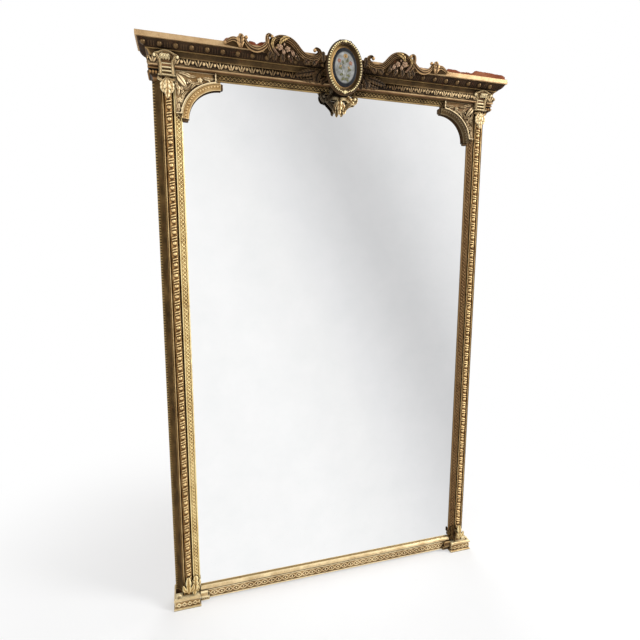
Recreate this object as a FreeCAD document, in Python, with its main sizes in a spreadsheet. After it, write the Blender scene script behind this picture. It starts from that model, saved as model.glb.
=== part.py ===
import FreeCAD, Part
import math
import os
from types import SimpleNamespace

import Sketcher
from FreeCAD import Rotation, Vector

# A gilt wall mirror, in millimetres. X runs across it, its front faces -Y and Z is up from the floor.
# Depths are counted from the wall towards the viewer.

SIZES = (
    # Sight opening and glass
    ("sight_width", 925),
    ("sight_height", 1560),
    ("sill_height", 56),
    ("sight_depth", 55),
    ("reveal_depth", 6),
    ("glass_thickness", 5),
    ("glass_lap", 10),
    ("glass_gap", 1.5),
    # Jamb mouldings, from the sight edge outwards
    ("sight_face", 22),
    ("groove_width", 4),
    ("torus_width", 22.4),
    ("torus_spring", 2),
    ("fillet_width", 5.4),
    ("fillet_rise", 5),
    ("cove_width", 24.6),
    ("cove_lip_width", 5),
    ("cove_lip_height", 4),
    ("flank_depth", 18),
    # Carcass
    ("rebate_width", 10),
    ("rebate_depth", 38),
    ("floor_gap", 9),
    ("tenon_length", 30),
    ("tenon_thickness", 14),
    ("tenon_setback", 12),
    ("tenon_shoulder", 5),
    ("joint_clearance", 0.1),
    ("peg_radius", 4),
    ("peg_length", 36),
    ("dust_board_thickness", 8),
    # Entablature, from the sight opening upwards; reaches are counted from the frieze board's face
    ("top_sight_face", 20),
    ("lintel_rise", 11.4),
    ("frieze_fillet_height", 3),
    ("frieze_fillet_reach", 4),
    ("frieze_torus_height", 22),
    ("frieze_torus_foot", 3),
    ("scotia_height", 12),
    ("scotia_foot", 2),
    ("scotia_reach", 9),
    ("cornice_fillet_height", 3),
    ("cornice_fillet_reach", 11),
    ("ovolo_height", 16),
    ("ovolo_reach", 29.5),
    ("band_height", 14),
    ("band_reach", 34),
    ("impost_height", 30),
    ("impost_reach", 8),
    # Sill and plinths
    ("sill_roll_height", 15),
    ("sill_band_rise", 3),
    ("plinth_height", 38),
    ("plinth_width", 84.4),
    ("plinth_cheek", 6),
    ("plinth_rise", 22),
    ("plinth_base_height", 7),
    ("plinth_cap_height", 11),
    ("plinth_lip", 4),
    ("plinth_cap_inset", 2.5),
    ("step_width", 27.6),
    ("step_rise", 13),
    # Consoles, leaves and spandrels
    ("console_height", 58),
    ("console_foot", 4),
    ("console_width", 65),
    ("console_core_width", 26),
    ("console_rise", 37),
    ("leaf_length", 58),
    ("leaf_width", 30),
    ("leaf_thickness", 9),
    ("spandrel_width", 107),
    ("spandrel_height", 109),
    ("spandrel_top_end", 25),
    ("spandrel_low_end", 17.5),
    ("spandrel_lap", 17),
    ("spandrel_rise", 9),
    ("spandrel_clearance", 0.3),
    # Medallion and pendant
    ("medallion_width", 116),
    ("medallion_height", 154),
    ("medallion_lift", 59),
    ("ring_width", 11),
    ("ring_thickness", 16),
    ("medallion_back_thickness", 6),
    ("medallion_cove_thickness", 7),
    ("medallion_cove_side", 8.5),
    ("medallion_cove_end", 12),
    ("medallion_clearance", 0.2),
    ("plaque_thickness", 3),
    ("block_width", 44),
    ("block_drop", 10),
    ("pendant_thickness", 12),
    ("pendant_inset", 6),
    ("pendant_height", 62),
    ("pendant_drop", 68),
    ("pendant_tang_width", 40),
    # Crest
    ("crest_span", 348),
    ("crest_gap", 4.6),
    ("crest_rise", 36),
    ("crest_thickness", 14),
    ("crest_leaf_reach", 150),
    ("crest_leaf_drop", 67),
    ("crest_leaf_thickness", 11),
    ("crest_board_thickness", 12),
    ("crest_board_height", 15),
    ("crest_board_peak", 22.5),
    ("crest_board_dip", 6),
    ("crest_board_right", 565),
    ("brace_depth", 24),
    ("brace_height", 18),
    ("brace_width", 16),
    # Behind the glass
    ("block_length", 40),
    ("glazing_block_width", 9),
    ("plank_thickness", 8),
    ("plank_gap", 1),
    ("plank_screw_radius", 1.75),
    ("plank_screw_length", 16),
    ("plank_screw_head_radius", 3.5),
    ("plank_screw_head_height", 2),
    # Hangers
    ("hanger_drop", 216),
    ("recess_width", 46),
    ("recess_depth", 14),
    ("recess_above", 24),
    ("recess_below", 96),
    ("strap_width", 18),
    ("strap_thickness", 1.5),
    ("strap_length", 88),
    ("eye_radius", 4.2),
    ("ring_wire_radius", 2.25),
    ("ring_reach", 18),
    ("ring_clearance", 0.06),
    ("strap_screw_first", 42),
    ("strap_screw_pitch", 32),
    ("strap_screw_radius", 2),
    ("strap_screw_length", 18),
    ("strap_screw_head_radius", 4),
    ("strap_screw_head_height", 2.2),
    ("screw_clearance", 0.05),
    ("cut_overrun", 5),
)

# Rise of an arc over its chord
TORUS_SAG_SHARE = 0.45
FRIEZE_SAG_SHARE = 0.28
COVE_SAG_SHARE = 0.11
SCOTIA_SAG_SHARE = 0.12
OVOLO_SAG_SHARE = 0.14
IMPOST_SAG_SHARE = 0.06
QUARTER_SAG_SHARE = 0.2071
ROLL_SAG_SHARE = 0.42

# Half outlines as (width share, height share, sag share to the next point), from the foot up the right side
CONSOLE_SHARES = (
    (0.72, 0.0, 0.2),
    (0.72, 0.1, 0.0),
    (0.58, 0.12, 0.0),
    (0.58, 0.7, -0.2),
    (1.0, 0.8, 0.25),
    (0.86, 0.93, -0.15),
    (0.45, 1.0, 0.0),
)
LEAF_SHARES = (
    (1.0, 0.0, 0.1),
    (0.86, 0.42, -0.1),
    (0.96, 0.56, 0.25),
    (0.46, 0.78, 0.1),
    (0.12, 1.0, 0.3),
)
PENDANT_SHARES = (
    (0.1, 0.0, -0.1),
    (0.36, 0.1, 0.3),
    (0.4, 0.32, -0.15),
    (0.62, 0.5, 0.15),
    (1.0, 0.66, 0.4),
    (0.9, 0.94, -0.1),
    (0.4, 1.0, 0.0),
)
# One side of the crest, outwards below and back on top: (share of its length, share of its rise, sag share)
CREST_SHARES = (
    (0.0, -0.62, 0.0),
    (0.159, -0.8, 0.08),
    (0.537, -0.82, 0.1),
    (0.598, -0.44, -0.1),
    (0.768, -0.42, 0.2),
    (0.841, -0.72, 0.2),
    (0.902, -0.44, 0.0),
    (1.0, -0.2, 0.3),
    (0.988, 0.04, -0.1),
    (0.909, 0.42, 0.15),
    (0.811, 0.6, 0.3),
    (0.744, 0.36, -0.25),
    (0.683, -0.1, -0.25),
    (0.591, 0.25, 0.1),
    (0.579, 0.86, 0.2),
    (0.445, 1.0, 0.16),
    (0.293, 0.42, -0.1),
    (0.201, -0.26, -0.3),
    (0.122, -0.1, 0.0),
    (0.1, 0.2, 0.35),
    (0.049, 0.05, -0.2),
    (0.0, 0.12, 0.0),
)
# The leaf under one side of the crest as (share of its reach, share of its drop, sag share)
CREST_LEAF_SHARES = (
    (0.27, -0.9, 0.0),
    (0.41, -1.0, 0.1),
    (0.53, -0.9, -0.1),
    (0.65, -0.7, 0.1),
    (0.75, -0.57, -0.1),
    (0.93, -0.52, 0.3),
    (1.0, -0.36, 0.1),
    (0.87, -0.22, -0.1),
    (0.75, -0.12, 0.2),
    (0.69, 0.0, 0.0),
    (0.27, 0.0, 0.0),
)
# Places along a run
BLOCK_HEIGHT_SHARES = (0.12, 0.37, 0.63, 0.88)
BLOCK_WIDTH_SHARES = (-0.3, 0.0, 0.3)
SETTING_BLOCK_SHARES = (-0.25, 0.25)
PLANK_SCREW_SHARES = (0.2, 0.8)
TOP_PEG_SHARES = (0.25, 0.75)
BOTTOM_PEG_SHARES = (0.5,)
BRACE_SHARES = (-0.5, 0.5)
# The board behind one side of the crest, as shares of its span
CREST_BOARD_START_SHARE = 0.42
CREST_BOARD_HUMP_SHARES = (0.48, 0.57)
CREST_BOARD_DIP_SHARE = 0.67
CREST_BOARD_KNEE_SHARE = 0.92
PLANKS = 4

SIDES = ((-1, "left"), (1, "right"))


class Size:
    """A length that keeps its number and the sheet expression that it comes from."""

    def __init__(self, value, text):
        self.value = value
        self.text = text

    def __add__(self, other):
        return Size(self.value + other.value, f"({self.text} + {other.text})")

    def __sub__(self, other):
        return Size(self.value - other.value, f"({self.text} - {other.text})")

    def __mul__(self, factor):
        return Size(self.value * factor, f"({self.text} * {factor})")

    def __truediv__(self, factor):
        return Size(self.value / factor, f"({self.text} / {factor})")

    def __neg__(self):
        return self * -1


ZERO = Size(0, "0")

doc = FreeCAD.newDocument("gilt_mirror")
sheet = doc.addObject("Spreadsheet::Sheet", "sizes")
named = {}
for row, (alias, value) in enumerate(SIZES, start=1):
    sheet.set(f"A{row}", str(value))
    sheet.setAlias(f"A{row}", alias)
    named[alias] = Size(value, f"sizes.{alias}")
size = SimpleNamespace(**named)
doc.recompute()

nodes = {}
cuts = []

# Places that several pieces share
half_sight = size.sight_width / 2
sight_top = size.sill_height + size.sight_height
carcass_front = size.sight_depth - size.reveal_depth
glass_back = carcass_front - size.glass_thickness
rebate_wall = half_sight + size.glass_lap + size.glass_gap
back_wall = rebate_wall + size.rebate_width
groove_inner = half_sight + size.sight_face
torus_inner = groove_inner + size.groove_width
torus_outer = torus_inner + size.torus_width
cove_inner = torus_outer + size.fillet_width
outer_half = cove_inner + size.cove_width
jamb_center = torus_inner + size.torus_width / 2
fillet_depth = size.sight_depth + size.fillet_rise
torus_crest = size.sight_depth + size.torus_spring + size.torus_width * TORUS_SAG_SHARE
plinth_outer = outer_half + size.plinth_cheek
plinth_inner = plinth_outer - size.plinth_width
step_inner = plinth_inner - size.step_width
sill_rail_top = size.sill_height - size.glass_lap - size.glass_gap
top_rail_low = sight_top + size.glass_lap + size.glass_gap
frieze_low = sight_top + size.top_sight_face
cornice_low = frieze_low + size.frieze_fillet_height + size.frieze_torus_height
ovolo_low = cornice_low + size.scotia_height + size.cornice_fillet_height
cornice_top = ovolo_low + size.ovolo_height + size.band_height
head_top = cornice_top - size.dust_board_thickness
lintel_front = size.sight_depth + size.lintel_rise
cornice_fillet_front = lintel_front + size.cornice_fillet_reach
cornice_front = lintel_front + size.band_reach
wall = (cornice_front + size.ring_thickness) / 2
impost_low = frieze_low - size.impost_height
console_low = sight_top - size.console_foot
console_front = size.sight_depth + size.console_rise
hanger_across = (back_wall + outer_half) / 2
hanger_height = sight_top - size.hanger_drop
ring_depth = size.recess_depth - size.eye_radius


def keep(label, item):
    """Names a finished piece."""
    item.Label = label
    nodes[label] = item
    return item


def place(item, across, depth, height):
    """Puts an object's own origin at a place across, in depth from the wall and in height."""
    item.setExpression("Placement.Base.x", across.text)
    item.setExpression("Placement.Base.y", (wall - depth).text)
    item.setExpression("Placement.Base.z", height.text)


def board(label, left, right, back, front, low, top):
    """A box between two places across, two depths and two heights."""
    item = doc.addObject("Part::Box", label)
    item.setExpression("Length", (right - left).text)
    item.setExpression("Width", (front - back).text)
    item.setExpression("Height", (top - low).text)
    place(item, left, front, low)
    return item


def side_board(label, side, inner, outer, back, front, low, top):
    """A box on one side of the middle."""
    left, right = (inner, outer) if side > 0 else (-outer, -inner)
    return board(label, left, right, back, front, low, top)


def rod(label, radius, across, back, front, height):
    """A cylinder that runs from one depth to another."""
    item = doc.addObject("Part::Cylinder", label)
    item.Placement.Rotation = Rotation(Vector(1, 0, 0), 90)
    item.setExpression("Radius", radius.text)
    item.setExpression("Height", (front - back).text)
    place(item, across, back, height)
    return item


def cross_rod(label, radius, length, middle, depth, height):
    """A cylinder that runs across."""
    item = doc.addObject("Part::Cylinder", label)
    item.Placement.Rotation = Rotation(Vector(0, 1, 0), 90)
    item.setExpression("Radius", radius.text)
    item.setExpression("Height", length.text)
    place(item, middle - length / 2, depth, height)
    return item


def fuse(label, parts):
    item = doc.addObject("Part::MultiFuse", label)
    item.Shapes = parts
    return item


def group(label, parts):
    item = doc.addObject("Part::Compound", label)
    item.Links = parts
    return item


def cut(label, base, tools):
    item = doc.addObject("Part::Cut", label)
    item.Base = base
    item.Tool = tools[0] if len(tools) == 1 else group(f"{label}_tools", tools)
    cuts.append((label, base, item))
    return item


def body(label, across=ZERO, depth=ZERO, height=ZERO):
    item = doc.addObject("PartDesign::Body", label)
    place(item, across, depth, height)
    return item


def arc_radius(across, up, sag):
    """Radius of an arc over a chord with these two legs, from its rise as a share of the chord."""
    factor = (0.25 + sag * sag) / (2 * abs(sag))
    chord = math.hypot(across.value, up.value)
    return Size(chord * factor, f"(sqrt({across.text} ^ 2 + {up.text} ^ 2) * {factor})")


def draw(owner, role, outline, lift=ZERO):
    """A closed sketch through (u, v, sag) points on an origin plane; sag bulges to the right of the way."""
    sketch = owner.newObject("Sketcher::SketchObject", f"{owner.Name}_sketch")
    plane = next(item for item in owner.Origin.OriginFeatures if item.Role == role)
    sketch.AttachmentSupport = (plane, [""])
    sketch.MapMode = "FlatFace"
    sketch.setExpression("AttachmentOffset.Base.z", lift.text)
    joints = []
    radii = []
    for index, (u, v, sag) in enumerate(outline):
        next_u, next_v, _ = outline[(index + 1) % len(outline)]
        start = Vector(u.value, v.value, 0)
        stop = Vector(next_u.value, next_v.value, 0)
        if sag == 0:
            edge = sketch.addGeometry(Part.LineSegment(start, stop), False)
            joints.append((edge, 1, 2))
            continue
        chord = stop - start
        middle = start + chord / 2 + Vector(chord.y, -chord.x, 0) * sag
        first, last = (start, stop) if sag > 0 else (stop, start)
        edge = sketch.addGeometry(Part.Arc(first, middle, last), False)
        joints.append((edge, 1, 2) if sag > 0 else (edge, 2, 1))
        radii.append((edge, arc_radius(next_u - u, next_v - v, sag)))
    for index, (edge, _, end) in enumerate(joints):
        after, begin, _ = joints[(index + 1) % len(joints)]
        sketch.addConstraint(Sketcher.Constraint("Coincident", edge, end, after, begin))
    measures = []
    for (u, v, _), (edge, begin, _) in zip(outline, joints):
        measures.append((Sketcher.Constraint("DistanceX", -1, 1, edge, begin, u.value), u))
        measures.append((Sketcher.Constraint("DistanceY", -1, 1, edge, begin, v.value), v))
    for edge, radius in radii:
        measures.append((Sketcher.Constraint("Radius", edge, radius.value), radius))
    for constraint, length in measures:
        number = sketch.addConstraint(constraint)
        sketch.setExpression(f"Constraints[{number}]", length.text)
    return sketch


def pad(owner, role, outline, length, lift=ZERO):
    """Adds an outline's prism to a body; from XZ_Plane it grows towards the viewer."""
    feature = owner.newObject("PartDesign::Pad", f"{owner.Name}_pad")
    feature.Profile = draw(owner, role, outline, lift)
    feature.setExpression("Length", length.text)
    return feature


def mitre(owner, before, outline):
    """Cuts an upright prism off the end of a moulding, above its own origin."""
    feature = owner.newObject("PartDesign::Pocket", f"{owner.Name}_mitre")
    feature.Profile = draw(owner, "XY_Plane", outline)
    feature.Type = "ThroughAll"
    feature.Reversed = True
    cuts.append((owner.Name, before, feature))
    return feature


def straight(points):
    return [(u, v, 0) for u, v in points]


def facing(sign, points):
    """Turns (reach, height, sag) points to one side or, with -1, to the other."""
    return [(u * sign, v, sag * sign) for u, v, sag in points]


def plan(side, points):
    """Turns (across, depth) points into a plan outline on one side of the middle."""
    return straight([(across * side, -depth) for across, depth in points])


def twin(shares, width, height):
    """A symmetric outline from its right half, given in shares of the half width and the height."""
    right = [(width / 2 * u, height * v, sag) for u, v, sag in shares]
    left = []
    for index in range(len(right) - 1, -1, -1):
        u, v, _ = right[index]
        sag = right[index - 1][2] if index else 0
        left.append((-u, v, sag))
    return right + left


def oval(label, width, height, back, front):
    """An elliptical disc about the medallion's centre."""
    edge = doc.addObject("Part::Ellipse", f"{label}_edge")
    edge.Placement.Rotation = Rotation(Vector(0, 0, 1), Vector(-1, 0, 0), Vector(0, -1, 0), "ZXY")
    edge.setExpression("MajorRadius", (height / 2).text)
    edge.setExpression("MinorRadius", (width / 2).text)
    place(edge, ZERO, back, sight_top + size.medallion_lift)
    item = doc.addObject("Part::Extrusion", label)
    item.Base = edge
    item.DirMode = "Normal"
    item.Reversed = True
    item.Solid = True
    item.setExpression("LengthFwd", (front - back).text)
    return item


def screw(label, across, height, seat, radius, length, head_radius, head_height):
    """A screw whose head sits on a face that looks at the wall."""
    shank = rod(f"{label}_shank", radius, across, seat, seat + length, height)
    head = rod(f"{label}_head", head_radius, across, seat - head_height, seat, height)
    return fuse(label, [shank, head])


# Carcass joints, pegs and screw places
sill_tenon = (size.floor_gap + size.tenon_shoulder, sill_rail_top - size.rebate_width - size.tenon_shoulder)
top_tenon = (top_rail_low + size.rebate_width + size.tenon_shoulder, head_top - size.tenon_shoulder)
tenon_reach = back_wall + size.tenon_length
tenon_front = size.tenon_setback + size.tenon_thickness
peg_across = back_wall + size.tenon_length / 2
peg_hole = size.peg_radius + size.screw_clearance


def peg_heights(tenon, shares):
    low, top = tenon
    return [low + (top - low) * share for share in shares]


sill_pegs = peg_heights(sill_tenon, BOTTOM_PEG_SHARES)
top_pegs = peg_heights(top_tenon, TOP_PEG_SHARES)
planks_low = sill_rail_top - size.rebate_width + size.plank_gap
planks_top = top_rail_low + size.rebate_width - size.plank_gap
plank_height = (planks_top - planks_low - size.plank_gap * (PLANKS - 1)) / PLANKS
plank_back = size.rebate_depth - size.plank_thickness
plank_lows = [planks_low + (plank_height + size.plank_gap) * number for number in range(PLANKS)]
plank_screw_across = rebate_wall + size.rebate_width / 2
plank_screw_hole = size.plank_screw_radius + size.screw_clearance
strap_back = size.recess_depth - size.strap_thickness
strap_screw_hole = size.strap_screw_radius + size.screw_clearance
strap_screw_heights = [
    hanger_height - size.strap_screw_first,
    hanger_height - size.strap_screw_first - size.strap_screw_pitch,
]


def plank_screw_heights(low):
    return [low + plank_height * share for share in PLANK_SCREW_SHARES]


def plank_screw_holes(label, side, low, back, front):
    return [
        rod(f"{label}_hole", plank_screw_hole, plank_screw_across * side, back, front, height)
        for height in plank_screw_heights(low)
    ]


def make_stile(side, hand):
    label = f"{hand}_stile"
    blank = body(f"{label}_blank")
    section = plan(side, [
        (back_wall, ZERO),
        (outer_half, ZERO),
        (outer_half, size.flank_depth),
        (cove_inner, size.flank_depth),
        (cove_inner, carcass_front),
        (rebate_wall, carcass_front),
        (rebate_wall, size.rebate_depth),
        (back_wall, size.rebate_depth),
    ])
    pad(blank, "XY_Plane", section, head_top)
    clear = size.joint_clearance
    tools = [
        side_board(
            f"{label}_mortise", side, back_wall - size.cut_overrun, tenon_reach + clear,
            size.tenon_setback - clear, tenon_front + clear, low - clear, top + clear,
        )
        for low, top in (sill_tenon, top_tenon)
    ]
    for height in sill_pegs + top_pegs:
        tools.append(rod(
            f"{label}_peg_hole", peg_hole, peg_across * side,
            -size.cut_overrun, size.peg_length + clear, height,
        ))
    half_recess = size.recess_width / 2
    tools.append(side_board(
        f"{label}_recess", side, hanger_across - half_recess, hanger_across + half_recess,
        -size.cut_overrun, size.recess_depth,
        hanger_height - size.recess_below, hanger_height + size.recess_above,
    ))
    screw_end = strap_back + size.strap_screw_length + clear
    for height in strap_screw_heights:
        tools.append(rod(
            f"{label}_strap_hole", strap_screw_hole, hanger_across * side, strap_back, screw_end, height,
        ))
    plank_screw_end = plank_back + size.plank_screw_length + clear
    for low in plank_lows:
        tools += plank_screw_holes(label, side, low, plank_back, plank_screw_end)
    keep(label, cut(label, blank, tools))


def make_rail(label, tenon, rear, front, pegs):
    """A rail with a rebated rear part, a front lip and a tenon at each end."""
    shoulder = board(f"{label}_rear", -back_wall, back_wall, ZERO, size.rebate_depth, *rear)
    lip = board(f"{label}_lip", -rebate_wall, rebate_wall, size.rebate_depth, carcass_front, *front)
    tongue = board(f"{label}_tenon", -tenon_reach, tenon_reach, size.tenon_setback, tenon_front, *tenon)
    blank = fuse(f"{label}_blank", [shoulder, lip, tongue])
    holes = [
        rod(f"{label}_peg_hole", peg_hole, peg_across * side, -size.cut_overrun, size.peg_length, height)
        for side, _ in SIDES
        for height in pegs
    ]
    keep(label, cut(label, blank, holes))


def make_carcass():
    for side, hand in SIDES:
        make_stile(side, hand)
    make_rail(
        "bottom_rail", sill_tenon, (size.floor_gap, sill_rail_top - size.rebate_width),
        (size.floor_gap, sill_rail_top), sill_pegs,
    )
    make_rail(
        "top_rail", top_tenon, (top_rail_low + size.rebate_width, head_top),
        (top_rail_low, head_top), top_pegs,
    )
    pegs = [
        rod("tenon_peg", size.peg_radius, peg_across * side, ZERO, size.peg_length, height)
        for side, _ in SIDES
        for height in sill_pegs + top_pegs
    ]
    keep("tenon_pegs", group("tenon_pegs", pegs))
    keep("frieze_board", board(
        "frieze_board", -outer_half, outer_half, carcass_front, lintel_front, frieze_low, head_top,
    ))
    keep("dust_board", board(
        "dust_board", -outer_half, outer_half, ZERO, lintel_front, head_top, cornice_top,
    ))


def make_sight_mouldings():
    """Flat mouldings that hold the glass, mitred at the two top corners."""
    for side, hand in SIDES:
        label = f"{hand}_sight_moulding"
        item = body(label, depth=carcass_front)
        outline = straight([
            (half_sight * side, size.plinth_height),
            (groove_inner * side, size.plinth_height),
            (groove_inner * side, frieze_low),
            (half_sight * side, sight_top),
        ])
        pad(item, "XZ_Plane", outline, size.reveal_depth)
        keep(label, item)
    item = body("top_sight_moulding", depth=carcass_front)
    outline = straight([
        (-half_sight, sight_top),
        (half_sight, sight_top),
        (groove_inner, frieze_low),
        (-groove_inner, frieze_low),
    ])
    pad(item, "XZ_Plane", outline, size.reveal_depth)
    keep("top_sight_moulding", item)


def make_jambs():
    for side, hand in SIDES:
        torus = body(f"{hand}_jamb_torus", height=size.plinth_height)
        spring = size.sight_depth + size.torus_spring
        section = plan(side, [
            (torus_inner, carcass_front),
            (torus_inner, spring),
            (torus_outer, spring),
            (torus_outer, fillet_depth),
            (cove_inner, fillet_depth),
            (cove_inner, carcass_front),
        ])
        u, v, _ = section[1]
        section[1] = (u, v, TORUS_SAG_SHARE * side)
        pad(torus, "XY_Plane", section, console_low - size.plinth_height)
        keep(f"{hand}_jamb_torus", torus)

        cove = body(f"{hand}_jamb_cove", height=size.plinth_height)
        section = plan(side, [
            (cove_inner, size.flank_depth),
            (cove_inner, fillet_depth),
            (outer_half - size.cove_lip_width, size.flank_depth + size.cove_lip_height),
            (outer_half, size.flank_depth + size.cove_lip_height),
            (outer_half, size.flank_depth),
        ])
        u, v, _ = section[1]
        section[1] = (u, v, -COVE_SAG_SHARE * side)
        pad(cove, "XY_Plane", section, impost_low - size.plinth_height)
        keep(f"{hand}_jamb_cove", cove)


def make_plinths():
    for side, hand in SIDES:
        label = f"{hand}_plinth"
        item = body(label)
        full = size.sight_depth + size.plinth_rise
        lip = size.plinth_lip
        levels = (
            (ZERO, ZERO, size.plinth_base_height),
            (lip, size.plinth_base_height, size.plinth_height - size.plinth_cap_height),
            (size.plinth_cap_inset, size.plinth_height - size.plinth_cap_height, size.plinth_height),
        )
        for inset, low, top in levels:
            section = plan(side, [
                (outer_half, ZERO),
                (plinth_outer - inset, ZERO),
                (plinth_outer - inset, full - inset),
                (plinth_inner + inset, full - inset),
                (plinth_inner + inset, carcass_front),
                (outer_half, carcass_front),
            ])
            pad(item, "XY_Plane", section, top - low, lift=low)
        keep(label, item)
        keep(f"{hand}_plinth_step", side_board(
            f"{hand}_plinth_step", side, step_inner, plinth_inner,
            carcass_front, size.sight_depth + size.step_rise, ZERO, size.sill_height,
        ))


def make_sill():
    item = body("sill_moulding", -step_inner, carcass_front, size.floor_gap)
    band = size.reveal_depth + size.sill_band_rise
    top = size.sill_height - size.floor_gap
    profile = [
        (ZERO, ZERO, 0),
        (-band, ZERO, 0),
        (-band, top - size.sill_roll_height, -ROLL_SAG_SHARE),
        (-band, top, 0),
        (ZERO, top, 0),
    ]
    pad(item, "YZ_Plane", profile, step_inner * 2)
    keep("sill_moulding", item)


def make_run(name, profile, reach, low):
    """A moulding across the front with a return on each side, mitred at the corners."""
    over = size.cut_overrun
    length = (outer_half + reach) * 2
    front = body(name, -(outer_half + reach), lintel_front, low)
    before = pad(front, "YZ_Plane", facing(-1, profile), length)
    near = straight([(reach + over, over), (-over, -(reach + over)), (-over, over)])
    far = [(length - u, v, sag) for u, v, sag in near]
    mitre(front, mitre(front, before, near), far)
    keep(name, front)
    for side, hand in SIDES:
        label = f"{hand}_{name.split('_')[0]}_return"
        item = body(label, outer_half * side, ZERO, low)
        before = pad(item, "XZ_Plane", facing(side, profile), lintel_front + reach)
        end = -(lintel_front + reach + over)
        corner = straight([
            (-over * side, over - lintel_front),
            ((reach + over) * side, end),
            (-over * side, end),
        ])
        mitre(item, before, corner)
        keep(label, item)


def make_entablature():
    lip = size.frieze_fillet_height
    torus_top = lip + size.frieze_torus_height
    frieze = [
        (ZERO, ZERO, 0),
        (size.frieze_fillet_reach, ZERO, 0),
        (size.frieze_fillet_reach, lip, 0),
        (size.frieze_torus_foot, lip, FRIEZE_SAG_SHARE),
        (size.frieze_torus_foot, torus_top, 0),
        (ZERO, torus_top, 0),
    ]
    frieze_reach = size.frieze_torus_foot + size.frieze_torus_height * FRIEZE_SAG_SHARE
    make_run("frieze_moulding", frieze, frieze_reach, frieze_low)
    fillet_top = size.scotia_height + size.cornice_fillet_height
    band_low = fillet_top + size.ovolo_height
    cornice = [
        (ZERO, ZERO, 0),
        (size.scotia_foot, ZERO, -SCOTIA_SAG_SHARE),
        (size.scotia_reach, size.scotia_height, 0),
        (size.cornice_fillet_reach, size.scotia_height, 0),
        (size.cornice_fillet_reach, fillet_top, OVOLO_SAG_SHARE),
        (size.ovolo_reach, band_low, 0),
        (size.band_reach, band_low, 0),
        (size.band_reach, band_low + size.band_height, 0),
        (ZERO, band_low + size.band_height, 0),
    ]
    make_run("cornice_front", cornice, size.band_reach, cornice_low)
    for side, hand in SIDES:
        label = f"{hand}_impost"
        item = body(label)
        wing = facing(side, [
            (outer_half, impost_low, -IMPOST_SAG_SHARE),
            (outer_half + size.impost_reach, frieze_low, 0),
            (outer_half, frieze_low, 0),
        ])
        pad(item, "XZ_Plane", wing, fillet_depth)
        core = straight([
            (cove_inner * side, impost_low),
            (outer_half * side, impost_low),
            (outer_half * side, frieze_low),
            (cove_inner * side, frieze_low),
        ])
        pad(item, "XZ_Plane", core, fillet_depth - size.flank_depth, lift=size.flank_depth)
        keep(label, item)


def make_consoles():
    for side, hand in SIDES:
        label = f"{hand}_console"
        item = body(label, jamb_center * side, ZERO, console_low)
        half = size.console_core_width / 2
        core = straight([
            (-half, -carcass_front),
            (half, -carcass_front),
            (half, -cornice_fillet_front),
            (-half, -cornice_fillet_front),
        ])
        pad(item, "XY_Plane", core, frieze_low - console_low)
        face = twin(CONSOLE_SHARES, size.console_width, size.console_height)
        pad(item, "XZ_Plane", face, console_front - cornice_fillet_front, lift=cornice_fillet_front)
        keep(label, item)

        drop = body(f"{hand}_console_leaf", jamb_center * side, torus_crest, console_low)
        down = [(u, -v, -sag) for u, v, sag in twin(LEAF_SHARES, size.leaf_width, size.leaf_length)]
        pad(drop, "XZ_Plane", down, size.leaf_thickness)
        keep(f"{hand}_console_leaf", drop)

        foot = body(f"{hand}_foot_leaf", jamb_center * side, torus_crest, size.plinth_height)
        pad(foot, "XZ_Plane", twin(LEAF_SHARES, size.leaf_width, size.leaf_length), size.leaf_thickness)
        keep(f"{hand}_foot_leaf", foot)


def make_spandrels():
    """Corner brackets with a concave arch; a thinner part inside the opening reaches back to the glass."""
    inner = half_sight - size.spandrel_width
    low = sight_top - size.spandrel_height
    arch_top = sight_top - size.spandrel_top_end
    arch_side = half_sight - size.spandrel_low_end
    clear = size.spandrel_clearance

    def outline(side, outer, top):
        return facing(side, [
            (outer, top, 0),
            (inner, top, 0),
            (inner, arch_top, -QUARTER_SAG_SHARE),
            (arch_side, low, 0),
            (outer, low, 0),
        ])

    for side, hand in SIDES:
        label = f"{hand}_spandrel"
        item = body(label)
        face = outline(side, half_sight + size.spandrel_lap, sight_top + size.spandrel_lap)
        pad(item, "XZ_Plane", face, size.spandrel_rise, lift=size.sight_depth)
        reveal = outline(side, half_sight - clear, sight_top - clear)
        pad(item, "XZ_Plane", reveal, size.reveal_depth - clear, lift=carcass_front + clear)
        keep(label, item)


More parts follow.
